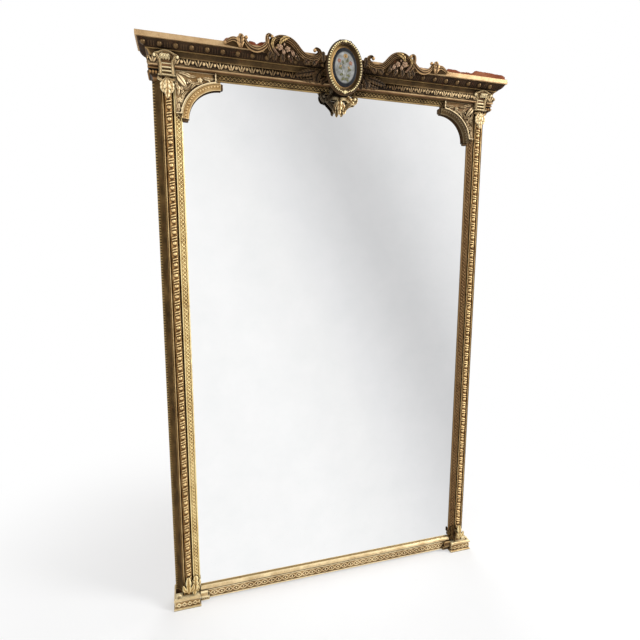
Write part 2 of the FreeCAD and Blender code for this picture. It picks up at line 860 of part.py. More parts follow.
def make_medallion():
    gap = size.medallion_clearance * 2
    hole_width = size.medallion_width - size.ring_width * 2
    hole_height = size.medallion_height - size.ring_width * 2
    plaque_width = hole_width - size.medallion_cove_side * 2
    plaque_height = hole_height - size.medallion_cove_end * 2
    back_front = cornice_front + size.medallion_back_thickness
    ring_front = cornice_front + size.ring_thickness
    cove_front = back_front + size.medallion_cove_thickness
    ring = oval(
        "medallion_ring_blank", size.medallion_width, size.medallion_height, cornice_front, ring_front,
    )
    ring_hole = oval("medallion_ring_hole", hole_width, hole_height, cornice_front, ring_front)
    keep("medallion_ring", cut("medallion_ring", ring, [ring_hole]))
    keep("medallion_back", oval(
        "medallion_back", hole_width - gap, hole_height - gap, cornice_front, back_front,
    ))
    cove = oval("medallion_cove_blank", hole_width - gap, hole_height - gap, back_front, cove_front)
    cove_hole = oval("medallion_cove_hole", plaque_width, plaque_height, back_front, cove_front)
    keep("medallion_cove", cut("medallion_cove", cove, [cove_hole]))
    keep("medallion_plaque", oval(
        "medallion_plaque", plaque_width - gap, plaque_height - gap,
        back_front, back_front + size.plaque_thickness,
    ))

    block_low = sight_top - size.block_drop
    pendant_front = size.sight_depth + size.pendant_thickness
    block = body("medallion_block", -size.block_width / 2)
    profile = straight([
        (-pendant_front, block_low),
        (-cornice_front, block_low),
        (-cornice_front, ovolo_low),
        (-cornice_fillet_front, ovolo_low),
        (-cornice_fillet_front, frieze_low),
        (-pendant_front, frieze_low),
    ])
    pad(block, "YZ_Plane", profile, size.block_width)
    keep("medallion_block", block)

    pendant = body("pendant", ZERO, size.sight_depth, sight_top - size.pendant_drop)
    pendant_width = size.medallion_width - size.pendant_inset * 2
    drop = twin(PENDANT_SHARES, pendant_width, size.pendant_height)
    pad(pendant, "XZ_Plane", drop, size.pendant_thickness)
    half = size.pendant_tang_width / 2
    foot = size.pendant_height / 2
    head = frieze_low - (sight_top - size.pendant_drop)
    tang = straight([(-half, foot), (half, foot), (half, head), (-half, head)])
    pad(pendant, "XZ_Plane", tang, size.pendant_thickness)
    keep("pendant", pendant)


def make_crest():
    start = size.medallion_width / 2 + size.crest_gap
    length = size.crest_span - start
    for side, hand in SIDES:
        label = f"{hand}_crest"
        item = body(label, ZERO, cornice_front, cornice_top)
        outline = [(start + length * u, size.crest_rise * v, sag) for u, v, sag in CREST_SHARES]
        pad(item, "XZ_Plane", facing(side, outline), size.crest_thickness)
        keep(label, item)

        label = f"{hand}_crest_leaf"
        item = body(label, ZERO, cornice_fillet_front, ovolo_low)
        reach, drop = size.crest_leaf_reach, size.crest_leaf_drop
        outline = [(reach * u, drop * v, sag) for u, v, sag in CREST_LEAF_SHARES]
        pad(item, "XZ_Plane", facing(side, outline), size.crest_leaf_thickness)
        keep(label, item)

    board_back = cornice_front - size.crest_board_thickness
    boards = []
    for side, hand in SIDES:
        span = size.crest_span
        end = size.crest_board_right if side > 0 else span
        start, dip = span * CREST_BOARD_START_SHARE, span * CREST_BOARD_DIP_SHARE
        first, last = (span * share for share in CREST_BOARD_HUMP_SHARES)
        outline = straight([
            (start, ZERO),
            (end, ZERO),
            (end, size.crest_board_height),
            (span * CREST_BOARD_KNEE_SHARE, size.crest_board_height),
            (dip, size.crest_board_dip),
            (last, size.crest_board_peak),
            (first, size.crest_board_peak),
            (start, size.crest_board_dip),
        ])
        backboard = body(f"{hand}_crest_board", ZERO, board_back, cornice_top)
        pad(backboard, "XZ_Plane", facing(side, outline), size.crest_board_thickness)
        boards.append(backboard)
    keep("crest_backboard", group("crest_backboard", boards))

    braces = []
    for share in BRACE_SHARES:
        brace = body("crest_brace", size.crest_span * share - size.brace_width / 2, board_back, cornice_top)
        wedge = straight([(ZERO, ZERO), (size.brace_depth, ZERO), (ZERO, size.brace_height)])
        pad(brace, "YZ_Plane", wedge, size.brace_width)
        braces.append(brace)
    keep("crest_braces", group("crest_braces", braces))


def make_glazing():
    reach = half_sight + size.glass_lap
    low = size.sill_height - size.glass_lap
    keep("mirror_glass", board(
        "mirror_glass", -reach, reach, glass_back, carcass_front, low, sight_top + size.glass_lap,
    ))
    half = size.block_length / 2
    setting = []
    for share in SETTING_BLOCK_SHARES:
        middle = size.sight_width * share
        setting.append(board(
            "setting_block", middle - half, middle + half, glass_back, carcass_front, sill_rail_top, low,
        ))
    keep("setting_blocks", group("setting_blocks", setting))
    blocks = []
    for side, _ in SIDES:
        for share in BLOCK_HEIGHT_SHARES:
            middle = size.sill_height + size.sight_height * share
            blocks.append(side_board(
                "glazing_block", side, rebate_wall - size.glazing_block_width, rebate_wall,
                size.rebate_depth, glass_back, middle - half, middle + half,
            ))
    for share in BLOCK_WIDTH_SHARES:
        middle = size.sight_width * share
        for foot in (sill_rail_top, top_rail_low - size.glazing_block_width):
            blocks.append(board(
                "glazing_block", middle - half, middle + half, size.rebate_depth, glass_back,
                foot, foot + size.glazing_block_width,
            ))
    keep("glazing_blocks", group("glazing_blocks", blocks))


def make_planks():
    screws = []
    reach = back_wall - size.plank_gap
    for number, low in enumerate(plank_lows, start=1):
        label = f"back_plank_{number}"
        blank = board(
            f"{label}_blank", -reach, reach, plank_back, size.rebate_depth, low, low + plank_height,
        )
        holes = []
        for side, _ in SIDES:
            holes += plank_screw_holes(label, side, low, plank_back - size.cut_overrun, size.rebate_depth)
            for height in plank_screw_heights(low):
                screws.append(screw(
                    "plank_screw", plank_screw_across * side, height, plank_back, size.plank_screw_radius,
                    size.plank_screw_length, size.plank_screw_head_radius, size.plank_screw_head_height,
                ))
        keep(label, cut(label, blank, holes))
    keep("plank_screws", group("plank_screws", screws))


def make_hangers():
    """A strap with a rolled eye in each stile's recess, and a loose half-round ring in the eye."""
    screws = []
    for side, hand in SIDES:
        middle = hanger_across * side
        label = f"{hand}_hanger_strap"
        half = size.strap_width / 2
        plate = board(
            f"{label}_plate", middle - half, middle + half, strap_back, size.recess_depth,
            hanger_height - size.strap_length, hanger_height,
        )
        eye = cross_rod(
            f"{label}_eye", size.eye_radius, size.strap_width, middle, ring_depth, hanger_height,
        )
        bore = cross_rod(
            f"{label}_bore", size.ring_wire_radius + size.ring_clearance,
            size.strap_width + size.cut_overrun, middle, ring_depth, hanger_height,
        )
        tools = [bore]
        for height in strap_screw_heights:
            tools.append(rod(
                f"{label}_hole", strap_screw_hole, middle, strap_back - size.cut_overrun,
                size.recess_depth + size.cut_overrun, height,
            ))
            screws.append(screw(
                "hanger_screw", middle, height, strap_back, size.strap_screw_radius,
                size.strap_screw_length, size.strap_screw_head_radius, size.strap_screw_head_height,
            ))
        keep(label, cut(label, fuse(f"{label}_blank", [plate, eye]), tools))

        label = f"{hand}_hanger_ring"
        bar = cross_rod(
            f"{label}_bar", size.ring_wire_radius, size.ring_reach * 2,
            middle, ring_depth, hanger_height,
        )
        bow = doc.addObject("Part::Torus", f"{label}_bow")
        bow.Placement.Rotation = Rotation(Vector(1, 0, 0), -90)
        bow.Angle3 = 180
        bow.setExpression("Radius1", size.ring_reach.text)
        bow.setExpression("Radius2", size.ring_wire_radius.text)
        place(bow, middle, ring_depth, hanger_height)
        parts = [bar, bow]
        for end, _ in SIDES:
            corner = doc.addObject("Part::Sphere", f"{label}_corner")
            corner.setExpression("Radius", size.ring_wire_radius.text)
            place(corner, middle + size.ring_reach * end, ring_depth, hanger_height)
            parts.append(corner)
        keep(label, fuse(label, parts))
    keep("hanger_screws", group("hanger_screws", screws))


make_carcass()
make_sight_mouldings()
make_jambs()
make_plinths()
make_sill()
make_entablature()
make_consoles()
make_spandrels()
make_medallion()
make_crest()
make_glazing()
make_planks()
make_hangers()
doc.recompute()

for item in doc.Objects:
    if "Invalid" in item.State or "Error" in item.State:
        raise RuntimeError(f"{item.Name} failed: {item.State}")
for label, before, after in cuts:
    if not after.Shape.Volume < before.Shape.Volume:
        raise RuntimeError(f"a cut in {label} takes nothing away")
for label, item in nodes.items():
    if item.Shape.isNull() or not item.Shape.isValid():
        raise RuntimeError(f"{label} has no valid shape")

os.makedirs("parts", exist_ok=True)
for label, item in nodes.items():
    item.Shape.exportStep(f"parts/{label}.step")
print(len(nodes), "pieces")
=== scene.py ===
import math
import random

import bmesh
import bpy
import numpy as np
from mathutils import Matrix, Vector


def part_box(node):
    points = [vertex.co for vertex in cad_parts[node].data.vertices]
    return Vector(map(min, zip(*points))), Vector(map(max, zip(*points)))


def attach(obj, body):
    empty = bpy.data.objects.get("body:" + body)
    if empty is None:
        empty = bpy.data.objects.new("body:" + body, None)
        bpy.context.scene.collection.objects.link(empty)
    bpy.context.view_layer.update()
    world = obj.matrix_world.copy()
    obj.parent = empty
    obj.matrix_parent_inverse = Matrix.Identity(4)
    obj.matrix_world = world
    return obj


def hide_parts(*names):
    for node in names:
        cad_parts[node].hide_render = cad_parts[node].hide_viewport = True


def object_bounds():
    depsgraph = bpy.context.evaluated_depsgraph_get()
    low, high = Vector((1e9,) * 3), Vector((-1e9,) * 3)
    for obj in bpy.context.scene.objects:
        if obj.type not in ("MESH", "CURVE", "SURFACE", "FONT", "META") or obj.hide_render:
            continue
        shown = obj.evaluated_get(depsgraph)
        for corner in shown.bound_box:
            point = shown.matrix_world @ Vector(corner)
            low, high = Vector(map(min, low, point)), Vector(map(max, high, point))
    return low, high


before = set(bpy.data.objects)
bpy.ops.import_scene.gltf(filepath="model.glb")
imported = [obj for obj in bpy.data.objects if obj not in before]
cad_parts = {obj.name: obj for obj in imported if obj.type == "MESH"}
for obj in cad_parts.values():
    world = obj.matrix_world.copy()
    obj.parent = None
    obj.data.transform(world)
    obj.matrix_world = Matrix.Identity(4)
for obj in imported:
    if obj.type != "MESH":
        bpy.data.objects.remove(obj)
cad_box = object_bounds()

# A gilt wall mirror, in metres. X runs across it, its front faces -Y and Z is up from the floor.
# Outlines and places are given in millimetres: across, out from the wall, and up. The mouldings sit on the
# carcass, whose front is SEAT from the wall.

MM = 0.001
ACROSS = np.array((1.0, 0.0, 0.0))
FRONT = np.array((0.0, -1.0, 0.0))
UP = np.array((0.0, 0.0, 1.0))
SIDES = ((-1, "left"), (1, "right"))
WALL = cad_box[1].y
SEAT = 49
MEDALLION = sum(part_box("medallion_ring"), Vector()) / 2
PLAQUE_HALF = (38.2, 53.7)
CREST_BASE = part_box("crest_backboard")[0].z / MM
BLACK, WHITE = (0, 0, 0), (255, 255, 255)
SHARP_EDGE = math.radians(50)


def rgb(red, green, blue):
    """A linear colour with full alpha from 0-255 screen values."""
    shares = (value / 255 for value in (red, green, blue))
    return (*(s / 12.92 if s <= 0.04045 else ((s + 0.055) / 1.055) ** 2.4 for s in shares), 1.0)


# Shapes

class Clay:
    """Closed skins that are joined into one piece."""

    def __init__(self):
        self.points = []
        self.faces = []
        self.count = 0

    def add(self, points, faces):
        self.points.append(np.asarray(points, float))
        self.faces += [[corner + self.count for corner in face] for face in faces]
        self.count += len(points)

    def model(self, name, material, slot, *replaced):
        """Makes the piece, which stands for the CAD nodes in replaced."""
        mesh = bpy.data.meshes.new(name)
        mesh.from_pydata(np.concatenate(self.points).tolist(), [], self.faces)
        skin = bmesh.new()
        skin.from_mesh(mesh)
        bmesh.ops.recalc_face_normals(skin, faces=skin.faces)
        skin.to_mesh(mesh)
        skin.free()
        mesh.shade_smooth()
        mesh.set_sharp_from_angle(angle=SHARP_EDGE)
        relief_for_wear_and_painted_light(mesh)
        mesh.materials.append(material)
        piece = bpy.data.objects.new(name, mesh)
        bpy.context.scene.collection.objects.link(piece)
        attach(piece, "frame")
        if replaced:
            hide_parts(*replaced)


def relief_for_wear_and_painted_light(mesh, rounds=9, reach=1.3 * MM):
    """Stores how far each point stands above the surface around it, from 0 in a hollow to 1 on a crest;
    gilding is darker in hollows and lighter on crests by it, as patina and wear and as painted shade and
    painted highlights.
    """
    count = len(mesh.vertices)
    points = np.empty(count * 3)
    mesh.vertices.foreach_get("co", points)
    points = points.reshape(-1, 3)
    normals = np.empty(count * 3)
    mesh.vertices.foreach_get("normal", normals)
    edges = np.empty(len(mesh.edges) * 2, int)
    mesh.edges.foreach_get("vertices", edges)
    ends = np.concatenate([edges.reshape(-1, 2), edges.reshape(-1, 2)[:, ::-1]])
    degree = np.bincount(ends[:, 0], minlength=count)[:, None]
    around = points
    for _ in range(rounds):
        sums = [np.bincount(ends[:, 0], around[ends[:, 1], axis], count) for axis in range(3)]
        around = np.stack(sums, axis=1) / degree
    height = ((points - around) * normals.reshape(-1, 3)).sum(axis=1) / reach
    relief = mesh.attributes.new("relief", "FLOAT", "POINT")
    relief.data.foreach_set("value", np.clip(0.5 + 0.5 * height, 0, 1))


def loft(loops):
    """A closed skin through loops of equal length, capped at both ends."""
    rows, ring, _ = loops.shape
    index = np.arange(rows * ring).reshape(rows, ring)
    after = np.roll(index, -1, axis=1)
    quads = np.stack([index[:-1], after[:-1], after[1:], index[1:]], axis=-1).reshape(-1, 4)
    return loops.reshape(-1, 3), quads.tolist() + [index[0][::-1].tolist(), index[-1].tolist()]


def arc(start, stop, sag, count):
    """Points from start up to stop, without it, on an arc that bulges to the right of the way."""
    start, stop = np.asarray(start, float), np.asarray(stop, float)
    share = np.arange(count)[:, None] / count
    chord = stop - start
    if sag == 0:
        return start + chord * share
    half = 2 * math.atan(2 * sag)
    radius = np.hypot(*chord) / (2 * math.sin(half))
    side = np.array((chord[1], -chord[0])) / np.hypot(*chord)
    centre = start + chord / 2 - side * radius * math.cos(half)
    turn = half * (2 * share - 1)
    ahead = chord / np.hypot(*chord)
    return centre + radius * (np.sin(turn) * ahead + np.cos(turn) * side)


def turning(points):
    """Twice an outline's area, below 0 where it runs clockwise."""
    after = np.roll(points, -1, axis=0)
    return (points[:, 0] * after[:, 1] - points[:, 1] * after[:, 0]).sum()


class Profile:
    """A closed outline through corners of (across, out, sag, samples); a sag above 0 is a swelling."""

    def __init__(self, corners, start=(0, 0)):
        corners = [(start[0] + across, start[1] + out, sag, count) for across, out, sag, count in corners]
        pieces, parts, shares, self.widths = [], [], [], []
        way = np.sign(turning(np.array([corner[:2] for corner in corners], float)))
        for index, (across, out, sag, count) in enumerate(corners):
            after = corners[(index + 1) % len(corners)]
            points = arc((across, out), after[:2], sag * way, count) * MM
            pieces.append(points)
            parts += [index] * count
            shares += [step / count for step in range(count)]
            line = np.vstack([points, np.array(after[:2]) * MM])
            self.widths.append(np.hypot(*np.diff(line, axis=0).T).sum())
        self.points = np.concatenate(pieces)
        self.part = np.array(parts)
        self.share = np.array(shares)
        along = np.roll(self.points, -1, axis=0) - np.roll(self.points, 1, axis=0)
        normals = np.stack([along[:, 1], -along[:, 0]], axis=1) * way
        self.normals = normals / np.linalg.norm(normals, axis=1, keepdims=True)


def bar(clay, profile, origin, along, across, out, span, leans=(0, 0), relief=None, step=1.2 * MM):
    """A moulding over a span; leans tell how far each end runs on per unit across, for mitres."""
    wide, deep = profile.points.T
    starts, stops = (end + lean * wide for end, lean in zip(span, leans))
    rows = int((stops - starts).max() / step) + 2
    run = starts + (stops - starts) * np.linspace(0, 1, rows)[:, None]
    lift = np.zeros_like(run)
    for part, shape in (relief or {}).items():
        here = profile.part == part
        lift[:, here] = shape(run[:, here], profile.share[here] * profile.widths[part], profile.widths[part])
    wide = wide + lift * profile.normals[:, 0]
    deep = deep + lift * profile.normals[:, 1]
    clay.add(*loft(origin + run[..., None] * along + wide[..., None] * across + deep[..., None] * out))


def on_wall(across=0.0):
    return np.array((across, WALL, 0))


def at(side, across, depth, height):
    """Places on one side of the middle, by millimetres across, out from the wall and up."""
    return np.stack(np.broadcast_arrays(across * side * MM, WALL - depth * MM, height * MM), axis=-1)


def spots(side, points, middle=0.0, base=0.0):
    """Places of (across, depth, height) points, counted from a middle line and a base height."""
    across, depth, height = np.array(points, float).T
    return at(side, middle + across, depth, base + height)


def strip(clay, side, edges):
    """A long bar through edges of (across, depth, height)."""
    clay.add(*loft(np.stack([at(side, *edge) for edge in edges], axis=1)))


def smooth(points, count):
    """A smooth line through control points."""
    points = np.asarray(points, float)
    ends = np.vstack([2 * points[0] - points[1], points, 2 * points[-1] - points[-2]])
    place = np.linspace(0, len(points) - 1, count)
    first = np.minimum(place.astype(int), len(points) - 2)
    t = (place - first)[:, None]
    a, b, c, d = (ends[first + step] for step in range(4))
    square = 2 * a - 5 * b + 4 * c - d
    cube = 3 * b - a - 3 * c + d
    return 0.5 * (2 * b + (c - a) * t + square * t ** 2 + cube * t ** 3)


def unit(vectors):
    return vectors / np.linalg.norm(vectors, axis=-1, keepdims=True)


def leaf(clay, spine, width, height, lobes=3, rows=44, columns=17, base=0.55, crease=0.25):
    """An acanthus leaf along a spine, whose ribs end in the lobes of its edge."""
    line = smooth(spine, rows)
    ahead = unit(np.gradient(line, axis=0))
    across = unit(np.cross(ahead, FRONT))
    lift = np.cross(across, ahead)
    share = np.linspace(0, 0.985, rows)[:, None]
    side = np.linspace(-1, 1, columns)[None, :]
    lobe = np.sin(math.pi * ((share * lobes) % 1)) ** 0.7
    form = (base + (1 - base) * rise(share, 0, 0.35)) * (1 - share ** 3) ** 0.7
    half = width / 2 * MM * form * (0.7 + 0.3 * lobe)
    vein = crease * np.exp(-(side / 0.13) ** 2)
    swell = 0.62 * np.sqrt(1 - 0.85 * side ** 2) + 0.36 * lobe * np.abs(side) ** 0.6 * (1 - 0.45 * side ** 2)
    top = height * MM * (0.2 + swell - vein) * (1 - 0.5 * share ** 4)
    front = (
        line[:, None] + across[:, None] * (half * side)[..., None] + lift[:, None] * top[..., None]
        + ahead[:, None] * (half * 0.4 * side ** 2)[..., None]
    )
    back = front - lift[:, None] * (top + 0.8 * MM)[..., None]
    clay.add(*loft(np.concatenate([front, back[:, ::-1]], axis=1)))


def scroll(clay, path, widths, heights, flutes=2, rows=70, columns=21):
    """A fluted band along a line; its widths and heights change evenly between the given ones."""
    line = smooth(path, rows)
    ahead = unit(np.gradient(line, axis=0))
    across = unit(np.cross(ahead, FRONT))
    share = np.linspace(0, 1, rows)
    wide = np.interp(share, np.linspace(0, 1, len(widths)), widths)[:, None] * MM / 2
    high = np.interp(share, np.linspace(0, 1, len(heights)), heights)[:, None] * MM
    side = np.linspace(-1, 1, columns)[None, :]
    top = high * np.sqrt(1 - 0.9 * side ** 2) * (0.78 + 0.22 * np.cos(2 * math.pi * flutes * side))
    front = line[:, None] + across[:, None] * (wide * side)[..., None] + FRONT * top[..., None]
    back = front - FRONT * (top + 0.6 * MM)[..., None]
    clay.add(*loft(np.concatenate([front, back[:, ::-1]], axis=1)))


def knob(clay, centre, radii, out=FRONT, rows=9, ring=16):
    """An egg-shaped knob; the radii are across, up and out."""
    across = unit(np.cross(out, UP))
    up = np.cross(across, out)
    climb = np.linspace(0.06, 0.94, rows)[:, None] * math.pi
    turn = np.arange(ring)[None, :] * 2 * math.pi / ring
    wide, tall, deep = (radius * MM for radius in radii)
    loops = (
        centre + across * (wide * np.sin(climb) * np.cos(turn))[..., None]
        + up * (tall * np.sin(climb) * np.sin(turn))[..., None]
        - out * (deep * np.cos(climb) + 0 * turn)[..., None]
    )
    clay.add(*loft(loops))


def flower(clay, centre, radius, petals=5, turn=0.0):
    """A small rose: a ring of petals, a ring of bud leaves and a heart."""
    for count, distance, size, lift in ((petals, 0.62, 0.46, 0.1), (3, 0.3, 0.34, 0.35)):
        for step in range(count):
            angle = turn + lift * 2 + step * 2 * math.pi / count
            place = centre + radius * MM * distance * (ACROSS * math.cos(angle) + UP * math.sin(angle))
            knob(
                clay, place + FRONT * radius * lift * MM, (radius * size, radius * size, radius * 0.42),
                rows=6, ring=10,
            )
    knob(clay, centre + FRONT * radius * 0.6 * MM, (radius * 0.24,) * 3, rows=6, ring=10)


def oval_band(clay, half_width, half_height, profile, count=180):
    """A closed moulding round the medallion; its profile is (outwards from the oval, depth)."""
    turn = np.arange(count) * 2 * math.pi / count
    reach, depth = profile.points.T
    loops = np.stack([
        np.cos(turn)[:, None] * (half_width * MM + reach),
        np.broadcast_to(WALL - depth, (count, len(depth))),
        MEDALLION.z + np.sin(turn)[:, None] * (half_height * MM + reach),
    ], axis=-1)
    index = np.arange(loops.shape[0] * loops.shape[1]).reshape(loops.shape[:2])
    after = np.roll(index, -1, axis=1)
    quads = np.stack([index, after, np.roll(after, -1, axis=0), np.roll(index, -1, axis=0)], axis=-1)
    clay.add(loops.reshape(-1, 3), quads.reshape(-1, 4).tolist())


def tower(clay, levels, soft=1.0):
    """A block through levels of (height, left, right, back, front), with eased front corners."""
    loops = []
    for height, left, right, back, front in levels:
        outline = (
            (left, back), (left, front - soft), (left + soft, front),
            (right - soft, front), (right, front - soft), (right, back),
        )
        loops.append([(across * MM, WALL - depth * MM, height * MM) for across, depth in outline])
    clay.add(*loft(np.array(loops)))


def box(clay, low, high, soft=1.0):
    """A block between two corners in millimetres of (across, depth, height), with eased edges."""
    (left, back, foot), (right, front, top) = low, high
    tower(clay, (
        (foot, left + soft, right - soft, back, front - soft), (foot + soft, left, right, back, front),
        (top - soft, left, right, back, front), (top, left + soft, right - soft, back, front - soft),
    ), soft)


# Reliefs: each gives the height over a moulding's face, by the way along it and across it

def rise(value, low, high):
    share = np.clip((value - low) / (high - low), 0, 1)
    return share * share * (3 - 2 * share)


def repeat(run, pitch, start):
    """Distance to the nearest of a row of places."""
    return (run - start + pitch / 2) % pitch - pitch / 2


def beads(pitch, radius, start):
    """A row of half balls."""
    def shape(run, way, width):
        away = np.hypot(repeat(run, pitch, start), way - width / 2)
        return np.sqrt(np.clip(radius ** 2 - away ** 2, 0, None))
    return shape


def tulips(pitch, height, start, ball):
    """Balls, with a tulip of three petals between each two."""
    def shape(run, way, width):
        away = (repeat(run, pitch, start) ** 2 + (way - width / 2) ** 2) / ball ** 2
        form = np.sqrt(np.clip(1 - away, 0, None))
        side = repeat(run, pitch, start + pitch / 2)
        up = way - 0.05 * width
        for lean in (-0.55, 0, 0.55):
            along = side * math.sin(lean) + up * math.cos(lean)
            across = side * math.cos(lean) - up * math.sin(lean)
            petal = 1 - ((along / width - 0.5) / 0.38) ** 2 - (across / width / 0.13) ** 2
            form = np.maximum(form, 0.75 * np.sqrt(np.clip(petal, 0, None)))
        return height * form
    return shape


def ball_and_ribs(pitch, height, start, ball, ribs=2, slant=-0.35):
    """Balls on a half-round, each over a dark gap, with slanting ribs up to the next gap."""
    def shape(run, way, width):
        side = way - width * 0.45
        dome = np.sqrt(np.clip(1 - (repeat(run, pitch, start) ** 2 + side ** 2) / ball ** 2, 0, None))
        place = (run - start - slant * side) % pitch
        share = np.clip((place - ball) / (pitch - 2.9 * ball), 0, 1)
        rib = np.abs(np.sin(math.pi * ribs * share)) ** 0.7 * (1 - rise(np.abs(side), 5 * MM, 8 * MM))
        return height * np.maximum(dome, 0.7 * rib * (dome == 0))
    return shape


def dentils(pitch, height):
    """Square teeth with gaps between them."""
    def shape(run, way, width):
        return height * (1 - rise(np.abs(repeat(run, pitch, 0)), pitch * 0.24, pitch * 0.34))
    return shape


def lattice(pitch, height):
    """Crossed ribs with a stud in each lozenge."""
    def shape(run, way, width):
        one = np.abs(np.cos((run + way) * math.pi / pitch))
        two = np.abs(np.cos((run - way) * math.pi / pitch))
        ribs = np.maximum(one, two) ** 8
        studs = (np.sin((run + way) * math.pi / pitch) * np.sin((run - way) * math.pi / pitch)) ** 8
        edge = rise(way, 0, 1.2 * MM) * rise(width - way, 0, 1.2 * MM)
        return height * np.maximum(ribs, 0.8 * studs) * edge
    return shape


def guilloche(pitch, height, stud):
    """Two bands that wind round a row of studs."""
    def shape(run, way, width):
        side = way - width / 2
        swing = np.sin(run * math.pi / pitch) * width * 0.34
        bands = [np.exp(-((side - bend) / width * 9) ** 2) for bend in (swing, -swing)]
        away = np.hypot(repeat(run, pitch, pitch / 2), side)
        return np.maximum(height * np.maximum(*bands), np.sqrt(np.clip(stud ** 2 - away ** 2, 0, None)))
    return shape


def eyes(pitch, height, hole):
    """Raised lozenges, each with a hole in it."""
    def shape(run, way, width):
        side = way - width / 2
        along = repeat(run, pitch, 0)
        plate = 1 - rise(np.abs(side) / width + np.abs(along) / pitch * 0.7, 0.38, 0.5)
        return height * plate * rise(np.hypot(along, side * 1.5), hole * 0.6, hole * 1.3)
    return shape


def flutes(pitch, height, gap, start):
    """Upright ribs between a row of balls."""
    def shape(run, way, width):
        away = np.abs(repeat(run, pitch, start))
        rib = np.cos(away * 2 * math.pi / (pitch / 6)) * 0.5 + 0.5
        ends = rise(way, 0.12 * width, 0.24 * width) * rise(width - way, 0.2 * width, 0.34 * width)
        return height * rib * rise(away, gap, gap * 1.3) * ends
    return shape


# Materials

def tree_of(name):
    material = bpy.data.materials.new(name)
    material.use_nodes = True
    return material, material.node_tree, material.node_tree.nodes["Principled BSDF"]


def feed(tree, socket, value):
    if isinstance(value, bpy.types.NodeSocket):
        tree.links.new(value, socket)
    else:
        socket.default_value = value


def wire(tree, item, **inputs):
    """Sets a node's inputs, each to a value or to another node's output."""
    for key, value in inputs.items():
        feed(tree, item.inputs[key.replace("_", " ")], value)
    return item


def node(tree, kind, settings=None, **inputs):
    item = tree.nodes.new(f"ShaderNode{kind}")
    for key, value in (settings or {}).items():
        setattr(item, key, value)
    return wire(tree, item, **inputs)


def maths(tree, operation, *values):
    item = node(tree, "Math", {"operation": operation})
    for socket, value in zip(item.inputs, values):
        feed(tree, socket, value)
    return item.outputs[0]


def noise(tree, vector, scale, detail=3.0, roughness=0.55):
    item = node(tree, "TexNoise", Vector=vector, Scale=scale, Detail=detail, Roughness=roughness)
    return item.outputs["Fac"]


def ramp(tree, value, stops):
    item = node(tree, "ValToRGB", Fac=value)
    bands = item.color_ramp.elements
    while len(bands) < len(stops):
        bands.new(0.5)
    for band, (place, colour) in zip(bands, stops):
        band.position = place
        band.color = rgb(*colour)
    return item.outputs["Color"]


def blend(tree, share, first, second, mode="MIX"):
    item = node(tree, "Mix", {"data_type": "RGBA", "blend_type": mode})
    feed(tree, item.inputs[0], share)
    feed(tree, item.inputs[6], first)
    feed(tree, item.inputs[7], second)
    return item.outputs[2]


def dirt_and_painted_shade(tree, colour, dirt_and_shade_colour, reach, share):
    """Dirt and painted shade over a colour in the corners, creases and gaps between parts that little light
    gets into.
    """
    shut = node(tree, "AmbientOcclusion", {"samples": 8}, Distance=reach).outputs["AO"]
    shown = ramp(tree, shut, ((0.3, WHITE), (0.9, BLACK)))
    return blend(tree, maths(tree, "MULTIPLY", shown, share), colour, rgb(*dirt_and_shade_colour))


def rough(tree, height, strength, reach):
    return node(tree, "Bump", Strength=strength, Distance=reach, Height=height).outputs["Normal"]


def gilt(
    name, low, middle, high, wear=(120, 66, 40), metallic=0.4, dull=0.0, carved=True, painted_shade_side=None, fold=False,
):
    """Old gilding: darker hollows as patina and painted shade, lighter crests as wear and painted highlights,
    and worn spots; an optional (from, to, colour) across X darkens one side with painted shade.
    """
    material, tree, shader = tree_of(name)
    place = node(tree, "TexCoord").outputs["Object"]
    broad = noise(tree, place, 22.0)
    fine = noise(tree, place, 420.0, 2.0)
    rubbed = noise(tree, place, 75.0, 4.0, 0.7)
    tone = maths(tree, "MULTIPLY_ADD", maths(tree, "SUBTRACT", broad, 0.5), 0.6, 0.5)
    # Patina and wear, and painted light: the relief height darkens hollows with painted shade and lightens
    # crests with painted highlights.
    if carved:
        relief = node(tree, "Attribute", {"attribute_name": "relief"}).outputs["Fac"]
        tone = maths(tree, "ADD", maths(tree, "SUBTRACT", tone, 0.5), relief)
    tone = maths(tree, "ADD", tone, maths(tree, "MULTIPLY", maths(tree, "SUBTRACT", fine, 0.5), 0.26))
    colour = ramp(tree, tone, ((0.18, low), (0.5, middle), (0.86, high)))
    worn = ramp(tree, rubbed, ((0.58, BLACK), (0.72, WHITE)))
    colour = blend(tree, maths(tree, "MULTIPLY", worn, 0.5), colour, rgb(*wear))
    # Dirt and painted shade: the gilding darkens where occlusion finds corners, creases and gaps between
    # parts.
    colour = dirt_and_painted_shade(tree, colour, low, 14 * MM, 0.85)
    # Painted shade: the colour darkens across X from near to far, or with fold towards the middle.
    if painted_shade_side:
        near, far, shade = painted_shade_side
        across = node(tree, "SeparateXYZ", Vector=place).outputs["X"]
        across = maths(tree, "ABSOLUTE", across) if fold else across
        share = node(tree, "MapRange", Value=across, From_Min=near, From_Max=far).outputs["Result"]
        colour = blend(tree, share, colour, rgb(*shade), "MULTIPLY")
    wire(
        tree, shader, Base_Color=colour, Metallic=metallic, Specular_IOR_Level=0.15 if metallic else 0.03,
        Roughness=maths(tree, "MULTIPLY_ADD", broad, 0.3, 0.28 + dull),
        Normal=rough(tree, maths(tree, "ADD", fine, rubbed), 0.35, 0.4 * MM),
    )
    return material


